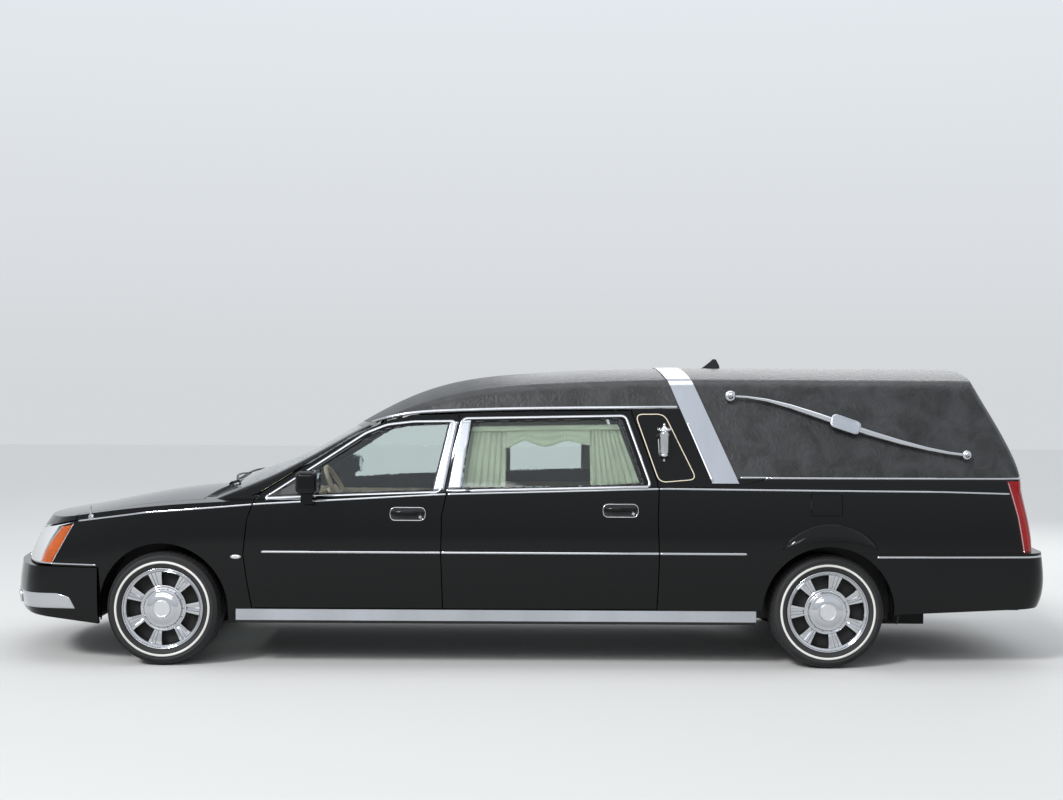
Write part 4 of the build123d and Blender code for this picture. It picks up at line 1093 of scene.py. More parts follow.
@dataclass
class CoachLamp:
    """The tall lamp on each side panel.

    Args:
        x: Where it stands.
        low_z: Height of its foot.
        high_z: Height of its top.
        standoff: How far its axis stands off the skin.
        profile: Its outline, as pairs of radius and height.
        fluted: Between which heights it is fluted.
        flutes: How many flutes it has.
    """

    x: float = 0.856
    low_z: float = 1.212
    high_z: float = 1.442
    standoff: float = 0.046
    profile: tuple = (
        (0.000, 0.000), (0.006, 0.002), (0.008, 0.010), (0.004, 0.017), (0.007, 0.021), (0.018, 0.030),
        (0.026, 0.036), (0.026, 0.044), (0.022, 0.048), (0.027, 0.052), (0.0275, 0.056), (0.0275, 0.170),
        (0.027, 0.174), (0.022, 0.177), (0.034, 0.184), (0.036, 0.190), (0.030, 0.194), (0.020, 0.204),
        (0.011, 0.210), (0.007, 0.214), (0.009, 0.220), (0.006, 0.227), (0.000, 0.230),
    )
    fluted: tuple[float, float] = (0.055, 0.171)
    flutes: int = 10

    def build(self) -> None:
        """Turns each lamp's body and adds its crown and brackets."""
        steps, points = 40, 8
        for side in Side:
            wall = SKIN.side(self.x, (self.low_z + self.high_z) / 2, side).point.y
            axis = Vector((self.x, wall + side.value * self.standoff, self.low_z))
            tall = (self.high_z - self.low_z) / self.profile[-1][1]
            verts = []
            for a in (math.tau * i / steps for i in range(steps)):
                for r, h in self.profile:
                    fluted = self.fluted[0] < h < self.fluted[1]
                    wide = r * (1 + (0.035 * math.cos(a * self.flutes) if fluted else 0))
                    verts.append(axis + Vector((math.cos(a) * wide, math.sin(a) * wide, h * tall)))
            bag = MeshBag().add(verts, grid_faces(steps, len(self.profile), loop=True, turn=True))
            bright = MeshBag()
            for a in (math.tau * k / points for k in range(points)):
                spike = [axis + Vector((math.cos(a) * r, math.sin(a) * r, h))
                         for r, h in ((0.033, 0.188), (0.037, 0.196), (0.039, 0.204))]
                bright.tube(spike, [0.005, 0.004, 0.001], 8)
            for h in (0.060, 0.168):
                start = axis + Vector((0, 0, h))
                bright.tube([start, Vector((self.x, wall - side.value * 0.004, start.z))], 0.007, 14)
                hit = SKIN.side(self.x, start.z, side)
                bright.tube([hit.out(-0.002), hit.out(0.004)], 0.017, 24)
            stand_for(bag.build(f"coach_lamp_{side.label}", "chrome"), "coach_lamps")
            bright.build(f"coach_lamp_crown_{side.label}", "chrome")
        log_piece("coach lamps", 4)


# The turned parts of a wheel as (radius, y), with y counted from the plane of the tyre's side.
TYRE_HALF = [
    (0.218, -0.026), (0.226, -0.0235), (0.238, -0.021), (0.2385, -0.016), (0.246, -0.0095), (0.256, -0.0035),
    (0.264, -0.0012), (0.2665, -0.0008), (0.2672, 0.0002), (0.2818, -0.0006), (0.2826, -0.0018),
    (0.296, -0.0042), (0.2965, -0.0028), (0.3005, -0.0036), (0.3012, -0.0062), (0.309, -0.0098),
    (0.318, -0.0150), (0.3265, -0.0225), (0.3285, -0.034),
]
RIM_FLANGE = [
    (0.2175, -0.030), (0.2175, -0.018), (0.2365, -0.0165), (0.2392, -0.0145), (0.2396, -0.0105),
    (0.2378, -0.0080), (0.2345, -0.0085), (0.2320, -0.0120), (0.2290, -0.0205), (0.2255, -0.0225),
    (0.2200, -0.0230), (0.2170, -0.0260), (0.2145, -0.0340), (0.2100, -0.0600), (0.2060, -0.0900),
    (0.2020, -0.1950), (0.2090, -0.2150), (0.2330, -0.2190), (0.2330, -0.2120),
]
RIM_DOME = [
    (0.130, -0.066), (0.136, -0.040), (0.1345, -0.034), (0.129, -0.0325), (0.1255, -0.0345),
    (0.122, -0.0355), (0.1165, -0.0335), (0.1135, -0.0300), (0.1110, -0.0200), (0.1090, -0.0165),
    (0.1060, -0.0150), (0.1020, -0.0155), (0.0990, -0.0175), (0.0900, -0.0115), (0.0780, -0.0055),
    (0.0660, -0.0012), (0.0560, 0.0012), (0.0520, 0.0008), (0.0505, -0.0010), (0.0, -0.001),
]
RIM_RECESS = [(0.2150, -0.050), (0.2100, -0.066), (0.1300, -0.066), (0.1280, -0.050)]
RIM_CAP = [(0.0500, -0.004), (0.0500, 0.0045), (0.0485, 0.0062), (0.0455, 0.0066), (0.0435, 0.0050),
           (0.0420, 0.0045), (0.0300, 0.0062), (0.0, 0.0070)]
# The pad of the rim: radius, y and half width along it, and its section as shares of that half width.
PAD_ROWS = [(0.124, -0.052, 0.021), (0.132, -0.036, 0.0235), (0.150, -0.0300, 0.0275),
            (0.196, -0.0235, 0.0380), (0.216, -0.0225, 0.0430), (0.2215, -0.0250, 0.0440),
            (0.2235, -0.034, 0.0445)]
PAD_HALF = [(-1.0, -0.030), (-1.0, -0.004), (-0.93, 0.0), (-0.52, 0.0005), (-0.45, -0.0060), (-0.06, -0.0085)]
PAD_SECTION = PAD_HALF + [(0.0, -0.0035)] + [(-u, y) for u, y in reversed(PAD_HALF)]
# The blocks of one tread pitch: first y, last y, lean, and share of the pitch that is filled.
TREAD_BLOCKS = ((-0.108, -0.066, 0.010, 0.86), (-0.059, -0.024, -0.012, 0.90), (-0.018, 0.018, 0.0, 0.94),
                (0.024, 0.059, 0.012, 0.90), (0.066, 0.108, -0.010, 0.86))
BLOCK_FACES = [(0, 1, 2, 3), (7, 6, 5, 4), (0, 4, 5, 1), (1, 5, 6, 2), (2, 6, 7, 3), (3, 7, 4, 0)]


@dataclass
class Wheel:
    """The four wheels: white-striped tyres, bright rims with seven pads, dome and cap.

    Args:
        radius: Of the tread.
        base: Radius of the carcass under the tread.
        width: Of the tyre.
        track: How far the wheels' middle planes stand from the coach's.
        axles: The x of each axle.
        pads: How many bright pads the rim has.
        treads: Tread pitches round the tyre.
        stripe: Inner and outer radius of the white stripe.
        turns: Degrees that each wheel is turned by, so that no two look alike.
    """

    radius: float = 0.336
    base: float = 0.3275
    width: float = 0.235
    track: float = 0.792
    axles: tuple = (("front", -2.1), ("rear", 1.82))
    pads: int = 7
    treads: int = 64
    stripe: tuple[float, float] = (0.2675, 0.2815)
    turns: tuple[float, ...] = (-13.0, 12.5, 21.0, -7.0)

    def turned(self, name: str, finish: str, *profiles: tuple[Line, int]) -> bpy.types.Object:
        """Makes one piece of turned profiles, each with its number of steps."""
        bag = MeshBag()
        for profile, steps in profiles:
            bag.revolve(profile, steps, self.width / 2)
        return bag.build(name, finish, None)

    def tyre(self) -> bpy.types.Object:
        """Makes the carcass with its sidewall steps."""
        wall = self.width / 2
        half = [(r, wall + y) for r, y in TYRE_HALF]
        profile = half + [(TYRE_HALF[-1][0], 0.0)] + [(r, -y) for r, y in reversed(half)]
        return MeshBag().revolve(profile, 128).build("tyre_carcass", "rubber", None)

    def tread(self) -> bpy.types.Object:
        """Makes one pitch of the tread and repeats it round the tyre."""
        bag = MeshBag()
        for low, high, lean, fill in TREAD_BLOCKS:
            verts = []
            for crowned in (False, True):
                for y, sign in ((low, -1), (low, 1), (high, 1), (high, -1)):
                    r = self.base - (0.008 if abs(y) > 0.1 else 0)
                    if crowned:
                        r = self.radius - 0.0002 - 0.0135 * max(0.0, (abs(y) - 0.06) / 0.048) ** 2
                    skew = lean * (y - (low + high) / 2) / 0.03 / self.radius
                    angle = sign * fill * math.pi / self.treads + skew
                    verts.append((r * math.sin(angle), y, r * math.cos(angle)))
            bag.add(verts, BLOCK_FACES)
        return radial_repeat(bag.build("tyre_tread", "rubber", None, False), self.treads)

    def white_stripe(self) -> bpy.types.Object:
        """Makes the thin white ring on the sidewall."""
        low, high = self.stripe
        profile = [(low, -0.002), (low + 0.0006, 0.0008), ((low + high) / 2, 0.0011), (high - 0.0006, 0.0002),
                   (high, -0.003)]
        return self.turned("tyre_stripe", "white", (profile, 128))

    def rim(self) -> bpy.types.Object:
        """Makes the rim's flange, barrel, recess and dome as one turned piece."""
        return self.turned("rim_turned", "chrome", (RIM_FLANGE, 112), (RIM_DOME, 96))

    def pad_ring(self) -> bpy.types.Object:
        """Makes one double-facet pad with its raised cheeks and repeats it round the rim."""
        verts = []
        for r, y, half in PAD_ROWS:
            for u, rise in PAD_SECTION:
                angle = u * half / r
                verts.append((r * math.sin(angle), self.width / 2 + y + rise, r * math.cos(angle)))
        m, count = len(PAD_SECTION), len(verts)
        faces = grid_faces(len(PAD_ROWS), m)
        faces += [tuple(range(m - 1, -1, -1)), tuple(range(count - m, count))]
        pad = MeshBag().add(verts, faces).build("rim_pads", "chrome", None, False)
        return radial_repeat(pad, self.pads)

    def window_ring(self) -> bpy.types.Object:
        """Makes the near-black floor behind the pads, painted shade seen through the windows between them."""
        return self.turned("rim_recess", "void", (RIM_RECESS, 80))

    def studs(self) -> bpy.types.Object:
        """Makes the small studs on the collar between the dome and the pads."""
        path = [(0, self.width / 2 + y, 0.1175) for y in (-0.036, -0.0295, -0.0285)]
        stud = MeshBag().tube(path, [0.0048, 0.0048, 0.003], 10).build("rim_studs", "chrome", None)
        return radial_repeat(stud, self.pads * 2)

    def cap(self) -> bpy.types.Object:
        """Makes the plain silver cap, bare of any badge."""
        return self.turned("rim_cap", "silver", (RIM_CAP, 64))

    def place(self, seed: bpy.types.Object, end: str, x: float, side: Side, turn: float) -> bpy.types.Object:
        """Copies a piece made for the right-hand side at the origin, turns it and sets it on a hub."""
        copy = link(f"{seed.name}_{end}_{side.label}", seed.data.copy())
        hub = Matrix.Translation((x, side.value * self.track, self.radius))
        matrix = hub @ Matrix.Rotation(math.radians(turn), 4, "Y")
        if side is Side.LEFT:
            matrix = matrix @ Matrix.Scale(-1, 4, (0, 1, 0))
        copy.data.transform(matrix)
        if side is Side.LEFT:
            copy.data.flip_normals()
        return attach(copy, f"wheel_{end}_{side.label}")

    def build(self) -> None:
        """Makes the four wheels in place of the CAD tyres and rims."""
        places = [(end, x, side) for side in Side for end, x in self.axles]
        makers = (self.tyre, self.tread, self.white_stripe, self.rim, self.pad_ring, self.window_ring,
                  self.studs, self.cap)
        stands = {"tyre_carcass": ("tyre", "tyre"), "rim_turned": ("rim", "chrome")}
        for maker in makers:
            seed = maker()
            for (end, x, side), turn in zip(places, self.turns):
                copy = self.place(seed, end, x, side, turn)
                if seed.name in stands:
                    node, slot = stands[seed.name]
                    stand_for(copy, f"{node}_{end}_{side.label}")
            bpy.data.objects.remove(seed)
        log_piece("wheels", len(makers) * len(places))


@dataclass(frozen=True)
class Pleats:
    """One hanging pleated drape in a rear door's window.

    Args:
        top: Its two top corners (x, z).
        foot: Its two bottom corners (x, z).
        folds: How many pleats it has.
        depth: How deep they are.
    """

    top: tuple[Point, Point]
    foot: tuple[Point, Point]
    folds: int
    depth: float = 0.012


@dataclass
class Drapery:
    """Drapes and the scalloped valance behind each rear door's glass.

    Args:
        front: The drape at the front of the window.
        rear: The drape at its rear.
        inner: How far inside the outer skin the cloth hangs.
        head: First and last x of the heading band.
        head_top: Height of its top edge at both ends.
        head_drop: Its height.
        valance_span: First and last x of the valance.
        seams: The x of the seams between its three panels.
        hems: Height of its hem at the front end, at the seams and at the rear end.
        dip: How far the middle panel hangs down.
    """

    front: Pleats = Pleats(((-0.292, 1.404), (-0.080, 1.406)), ((-0.348, 1.058), (-0.080, 1.058)), 7)
    rear: Pleats = Pleats(((0.420, 1.414), (0.594, 1.418)), ((0.420, 1.066), (0.712, 1.084)), 8)
    inner: float = 0.049
    head: tuple[float, float] = (-0.296, 0.598)
    head_top: tuple[float, float] = (1.411, 1.428)
    head_drop: float = 0.030
    valance_span: tuple[float, float] = (-0.084, 0.424)
    seams: tuple[float, float] = (0.033, 0.274)
    hems: tuple[float, float, float] = (1.284, 1.329, 1.303)
    dip: float = 0.034

    def head_z(self, x: float) -> float:
        """Returns the height of the heading band's top edge at x."""
        low, high = self.head_top
        return low + (high - low) * (x - self.head[0]) / (self.head[1] - self.head[0])

    def wall(self, x: float, z: float, side: Side, out: float) -> Vector:
        """Returns the point at (x, z) a distance outward of the drapes' plane, just inside the wall."""
        slope = (SKIN.side(x, 1.40, side).point.y - SKIN.side(x, 1.12, side).point.y) / 0.28
        y = SKIN.side(x, 1.25, side).point.y + slope * (z - 1.25)
        return Vector((x, y - side.value * self.inner + side.value * out, z))

    @staticmethod
    def cloth(name: str, grid: list[list[Vector]], side: Side, thick: float,
              level: bool = False) -> bpy.types.Object:
        """Args:
            name: The piece's name.
            grid: Its columns of points, each from top to foot.
            side: The side that it hangs on.
            thick: How thick the cloth is.
            level: Whether its width is that of its top edge, not of its widest row.

        Returns:
            The new object.
        """
        body = f"rear_door_{side.label}"
        verts = [p for column in grid for p in column]
        bag = MeshBag().add(verts, grid_faces(len(grid), len(grid[0])))
        obj = bag.build(name, "drape", body, True, thick)
        across = list(zip(*grid))[:1 if level else None]
        drop, width = (max(sum(math.dist(a, b) for a, b in zip(line, line[1:])) for line in lines)
                       for lines in (grid, across))
        return obj

    def pleated(self, name: str, pleats: Pleats, side: Side, seed: float) -> bpy.types.Object:
        """Makes one pleated drape, with its folds opening and wandering towards the foot."""
        columns, rows = pleats.folds * 16, 40
        grid = []
        for u in (c / columns for c in range(columns + 1)):
            column = []
            for v in (r / rows for r in range(rows + 1)):
                wander = 0.010 * math.sin(5.1 * u + seed) * v
                wander += 0.006 * math.sin(11.7 * u + seed * 2.3 + 3 * v) * v
                foot = lerp(*pleats.foot, min(1.0, max(0.0, u + wander)))
                x, z = lerp(lerp(*pleats.top, u), foot, v)
                phase = math.tau * pleats.folds * u + 0.5 * math.sin(7.0 * u + seed)
                heading = 0.35 + 0.65 * min(1.0, v / 0.10)
                wave = math.sin(phase) + 0.28 * math.sin(2 * phase + 0.9) * v
                wave += 0.15 * math.sin(0.5 * phase + seed)
                column.append(self.wall(x, z, side, -pleats.depth * 0.5 * heading * (wave + 1.1)))
            grid.append(column)
        return self.cloth(name, grid, side, 0.0012)

    def valance(self, side: Side) -> None:
        """Makes the three scalloped panels under the heading band."""
        x0, x1 = self.valance_span
        seams = (x0, *self.seams, x1)
        front, seam_z, rear = self.hems
        columns, rows = 120, 18
        grid = []
        for x in (x0 + (x1 - x0) * c / columns for c in range(columns + 1)):
            panel = sum(x >= seam for seam in self.seams)
            length = seams[panel + 1] - seams[panel]
            share = (x - seams[panel]) / length
            ease = share * share * (3 - 2 * share)
            bow = math.sin(math.pi * share)
            hems = (front + (seam_z - front) * ease, seam_z - self.dip * bow ** 1.3,
                    seam_z + (rear - seam_z) * ease)
            top = self.head_z(x) - 0.012
            seam = -0.0035 * math.exp(-(min(share, 1 - share) * length / 0.004) ** 2)
            grid.append([self.wall(x, top + (hems[panel] - top) * v, side,
                                   0.006 + 0.0020 * math.sin(math.tau * v * 2.6) * bow ** 0.4 + seam)
                         for v in (r / rows for r in range(rows + 1))])
        self.cloth(f"valance_{side.label}", grid, side, 0.0014, True)

    def heading(self, side: Side) -> None:
        """Makes the band at the top, with rounded ends."""
        columns, rows = 72, 8
        verts = []
        for u in (c / columns for c in range(columns + 1)):
            x = self.head[0] + (self.head[1] - self.head[0]) * u
            inset = 0.020 * (1 - math.sqrt(max(0.0, 1 - max(0.0, 1 - min(u, 1 - u) / 0.024) ** 2)))
            for v in (r / rows for r in range(rows + 1)):
                z = self.head_z(x) - self.head_drop + (self.head_drop - inset) * v
                verts.append(self.wall(x, z, side, 0.006 + 0.004 * math.sin(math.pi * v)))
        bag = MeshBag().add(verts, grid_faces(columns + 1, rows + 1))
        bag.build(f"valance_head_{side.label}", "drape", f"rear_door_{side.label}", True, 0.004)

    def build(self) -> None:
        """Makes the drapery of both rear doors in place of the CAD curtains."""
        for side in Side:
            first = self.pleated(f"drape_front_{side.label}", self.front, side, 0.4 + side.value)
            self.pleated(f"drape_rear_{side.label}", self.rear, side, 2.1 - side.value)
            self.valance(side)
            self.heading(side)
            stand_for(first, f"curtain_{side.label}")
        log_piece("drapery", 8)


def smooth_grid(grid: list[list[Vector]], rounds: int) -> list[list[Vector]]:
    """Returns a grid of points evened out within its border, to lose the facets of the mesh it came from."""
    for _ in range(rounds):
        new = [list(column) for column in grid]
        for c in range(1, len(grid) - 1):
            for r in range(1, len(grid[0]) - 1):
                new[c][r] = (grid[c - 1][r] + grid[c + 1][r] + grid[c][r - 1] + grid[c][r + 1]) / 4
        grid = new
    return grid


class LampFace:
    """The outer face of one headlamp as a smooth grid, from its side edge round to its inner end.

    Args:
        side: The side that the lamp is on.
        columns: Steps along the lamp.
        rows: Steps upward.
    """

    middle = 0.20
    foot = 0.579
    top_line = ((-3.30, 0.758), (-3.06, 0.758), (-2.917, 0.777), (-2.640, 0.838))
    inner_end = 0.352

    def __init__(self, side: Side, columns: int = 72, rows: int = 28) -> None:
        self.columns, self.rows = columns, rows
        self.centre = Vector((NOSE_X, side.value * self.middle, 0.0))
        self.bearing = front_bearing(side, self.middle)
        shares = [r / rows for r in range(rows + 1)]
        ends = [(halve(lambda angle: self.past_edge(self.at_angle(angle, share))),
                 halve(lambda angle: abs(self.at_angle(angle, share).y) < self.inner_end))
                 for share in shares]
        grid = [[self.at_angle(first + (last - first) * c / columns, share)
                 for share, (first, last) in zip(shares, ends)] for c in range(columns + 1)]
        self.points = smooth_grid(grid, 4)
        self.normals = [[self.normal(c, r) for r in range(rows + 1)] for c in range(columns + 1)]

    def top_at(self, x: float) -> float:
        """Returns the height of the lamp's top edge at x."""
        for (x0, z0), (x1, z1) in zip(self.top_line, self.top_line[1:]):
            if x <= x1:
                return z0 + (z1 - z0) * max(0.0, (x - x0) / (x1 - x0))
        return self.top_line[-1][1]

    def at_angle(self, angle: float, share: float) -> Vector:
        """Returns the skin in a direction from the lamp's middle, at a share of the lamp's height there."""
        top, point = 0.80, None
        for _ in range(3):
            point = self.bearing(angle, self.foot + share * (top - self.foot)).point
            top = self.top_at(point.x)
        return point

    @staticmethod
    def past_edge(point: Vector) -> bool:
        """Says whether a point is ahead of the lamp's slanting side edge."""
        return point.x < -2.646 - (0.838 - point.z) / 0.268 * 0.151

    def normal(self, c: int, r: int) -> Vector:
        """Returns the outward normal at a node of the grid."""
        a = self.points[min(c + 1, self.columns)][r] - self.points[max(c - 1, 0)][r]
        b = self.points[c][min(r + 1, self.rows)] - self.points[c][max(r - 1, 0)]
        n = a.cross(b).normalized()
        return n if n.dot(self.points[c][r] - self.centre - Vector((0, 0, self.points[c][r].z))) > 0 else -n

    def at(self, u: float, v: float, depth: float) -> Vector:
        """Returns the point a depth behind the face at (u, v)."""
        c, r = min(max(u, 0), 1) * self.columns, min(max(v, 0), 1) * self.rows
        i, k = min(int(c), self.columns - 1), min(int(r), self.rows - 1)
        point, normal = (
            g[i][k].lerp(g[i + 1][k], c - i).lerp(g[i][k + 1].lerp(g[i + 1][k + 1], c - i), r - k)
            for g in (self.points, self.normals))
        return point - normal.normalized() * depth

    def sheet(self, bag: MeshBag, box: Point, columns: int, rows: int, depth: Height, thick: float,
              lean: Point = (0, 0)) -> MeshBag:
        """Adds a closed plate behind the face.

        Args:
            bag: Where the mesh goes.
            box: Its span along the lamp and upward (u0, u1, v0, v1), as shares.
            columns: Faces along the lamp.
            rows: Faces upward.
            depth: How deep it lies behind the face, or a function that gives it at (s, t) within the box.
            thick: Its thickness.
            lean: How far its two upright edges move along the lamp from foot to top, for the whole height.

        Returns:
            The bag.
        """
        u0, u1, v0, v1 = box
        verts = []
        for back in (0.0, thick):
            for s in (c / columns for c in range(columns + 1)):
                for t in (r / rows for r in range(rows + 1)):
                    v = v0 + (v1 - v0) * t
                    first, last = u0 + lean[0] * v, u1 + lean[1] * v
                    deep = depth(s, t) if callable(depth) else depth
                    verts.append(self.at(first + (last - first) * s, v, deep + back))
        m = len(verts) // 2
        border = grid_border(columns, rows)
        faces = grid_faces(columns + 1, rows + 1, turn=True) + grid_faces(columns + 1, rows + 1, base=m)
        return bag.add(verts, faces + [(b, a, m + a, m + b) for a, b in zip(border, border[1:] + border[:1])])


@dataclass
class Headlamps:
    """Clear lenses with an amber strip, stacked reflector bowls and a dark housing behind.

    Args:
        lens: Thickness of the clear lens.
        amber: First and last share of the lamp's length that the amber strip takes.
        lean: How far the strip's inner edge moves along the lamp from foot to top.
        housing: Depth of the housing.
        stack: Lower and upper edges of the three bowls beside the strip.
        bowls: The two tall bowls: their span along the lamp and upward, depth and lean.
        rim: Width of the bezels along the lamp and upward.
    """

    lens: float = 0.0035
    amber: tuple[float, float] = (0.016, 0.282)
    lean: float = -0.140
    housing: float = 0.062
    stack: tuple = ((0.06, 0.29), (0.34, 0.66), (0.71, 0.93))
    bowls: tuple = ((0.600, 0.775, 0.06, 0.94, 0.040, -0.03), (0.800, 0.985, 0.06, 0.94, 0.046, 0.0))
    rim: tuple[float, float] = (0.006, 0.014)

    def case(self, face: LampFace, label: str) -> None:
        """Adds the lens and the dark housing."""
        lens = face.sheet(MeshBag(), (0, 1, 0, 1), 72, 28, 0.0, self.lens)
        cover = lens.build(f"headlamp_lens_{label}", "lens")
        if label == Side.LEFT.label:
            stand_for(cover, "headlamps")
        back = face.sheet(MeshBag(), (0, 1, 0, 1), 48, 12, self.housing, 0.003)
        for box, columns, rows in (((0, 0.004, 0, 1), 2, 16), ((0.996, 1, 0, 1), 2, 16),
                                   ((0, 1, 0, 0.012), 48, 2), ((0, 1, 0.988, 1), 48, 2)):
            face.sheet(back, box, columns, rows, self.lens + 0.0005, self.housing - self.lens)
        back.build(f"headlamp_housing_{label}", "black")

    def strip(self, face: LampFace, label: str) -> None:
        """Adds the ribbed amber strip and its two borders."""
        outer, inner = self.amber
        amber = face.sheet(MeshBag(), (outer, inner, 0.030, 0.955), 8, 96,
                           lambda s, t: 0.0060 + 0.0008 * math.cos(t * 96 * math.pi / 2), 0.004,
                           (0.0, self.lean))
        amber.build(f"headlamp_amber_{label}", "amber")
        borders = face.sheet(MeshBag(), (inner, inner + 0.022, 0.020, 0.965), 1, 24, 0.0055, 0.006,
                             (self.lean,) * 2)
        face.sheet(borders, (outer - 0.014, outer, 0.020, 0.965), 1, 24, 0.0055, 0.006)
        borders.build(f"headlamp_border_{label}", "silver", COACH, False)

    def build(self) -> None:
        """Makes both lamps in place of the CAD ones."""
        first, (wide, high) = self.amber[1] + 0.045, self.rim
        cells = [(first, first + 0.165 + 0.02 * k, v0, v1, 0.016, self.lean)
                 for k, (v0, v1) in enumerate(self.stack)]
        cells += self.bowls
        for side in Side:
            face, label = LampFace(side), side.label
            self.case(face, label)
            self.strip(face, label)
            bowls, rims, bulbs = bags(3)
            for u0, u1, v0, v1, deep, lean in cells:

                def hollow(s: float, t: float) -> float:
                    """Returns the bowl's depth behind the face at (s, t)."""
                    return 0.0085 + deep * (1 - (2 * s - 1) ** 2) ** 0.8 * (1 - (2 * t - 1) ** 2) ** 0.8

                face.sheet(bowls, (u0, u1, v0, v1), 20, 16, hollow, 0.0022, (lean, lean))
                for box, columns, rows in (
                    ((u0 - wide, u0, v0 - high, v1 + high), 1, 12),
                    ((u1, u1 + wide, v0 - high, v1 + high), 1, 12),
                    ((u0, u1, v0 - high, v0), 12, 1), ((u0, u1, v1, v1 + high), 12, 1),
                ):
                    face.sheet(rims, box, columns, rows, 0.0070, 0.004, (lean, lean))
            for u0, u1, v0, v1, deep, lean in self.bowls:
                v = (v0 + v1) / 2
                path = [face.at((u0 + u1) / 2 + lean * v, v, deep + d)
                        for d in (0.008, -0.004, -0.009, -0.011)]
                bulbs.tube(path, [0.006, 0.0065, 0.0048, 0.001], 12)
            bowls.build(f"headlamp_bowls_{label}", "mirror")
            rims.build(f"headlamp_bezel_{label}", "black", COACH, False)
            bulbs.build(f"headlamp_bulbs_{label}", "white")
        log_piece("headlamps", 14)


# Fog lamps as pairs of radius and height: the bright ring and the lens in it.
FOG_RING = ((0.040, 0.000), (0.041, 0.005), (0.037, 0.007), (0.034, 0.003), (0.034, 0.0005))
FOG_LENS = ((0.034, 0.0006), (0.028, 0.0035), (0.015, 0.0055), (0.0, 0.006))
# The side marker's steps, as pairs of scale and height; its lens stands higher from the second step on.
MARKER_LEVELS = ((1.0, 0.0022), (0.86, 0.0042), (0.5, 0.0048), (0.02, 0.005))


def glass_edge(y: float) -> float:
    """Returns x of the windscreen's lower edge."""
    return -1.836 + 0.166 * (y / 0.756) ** 2


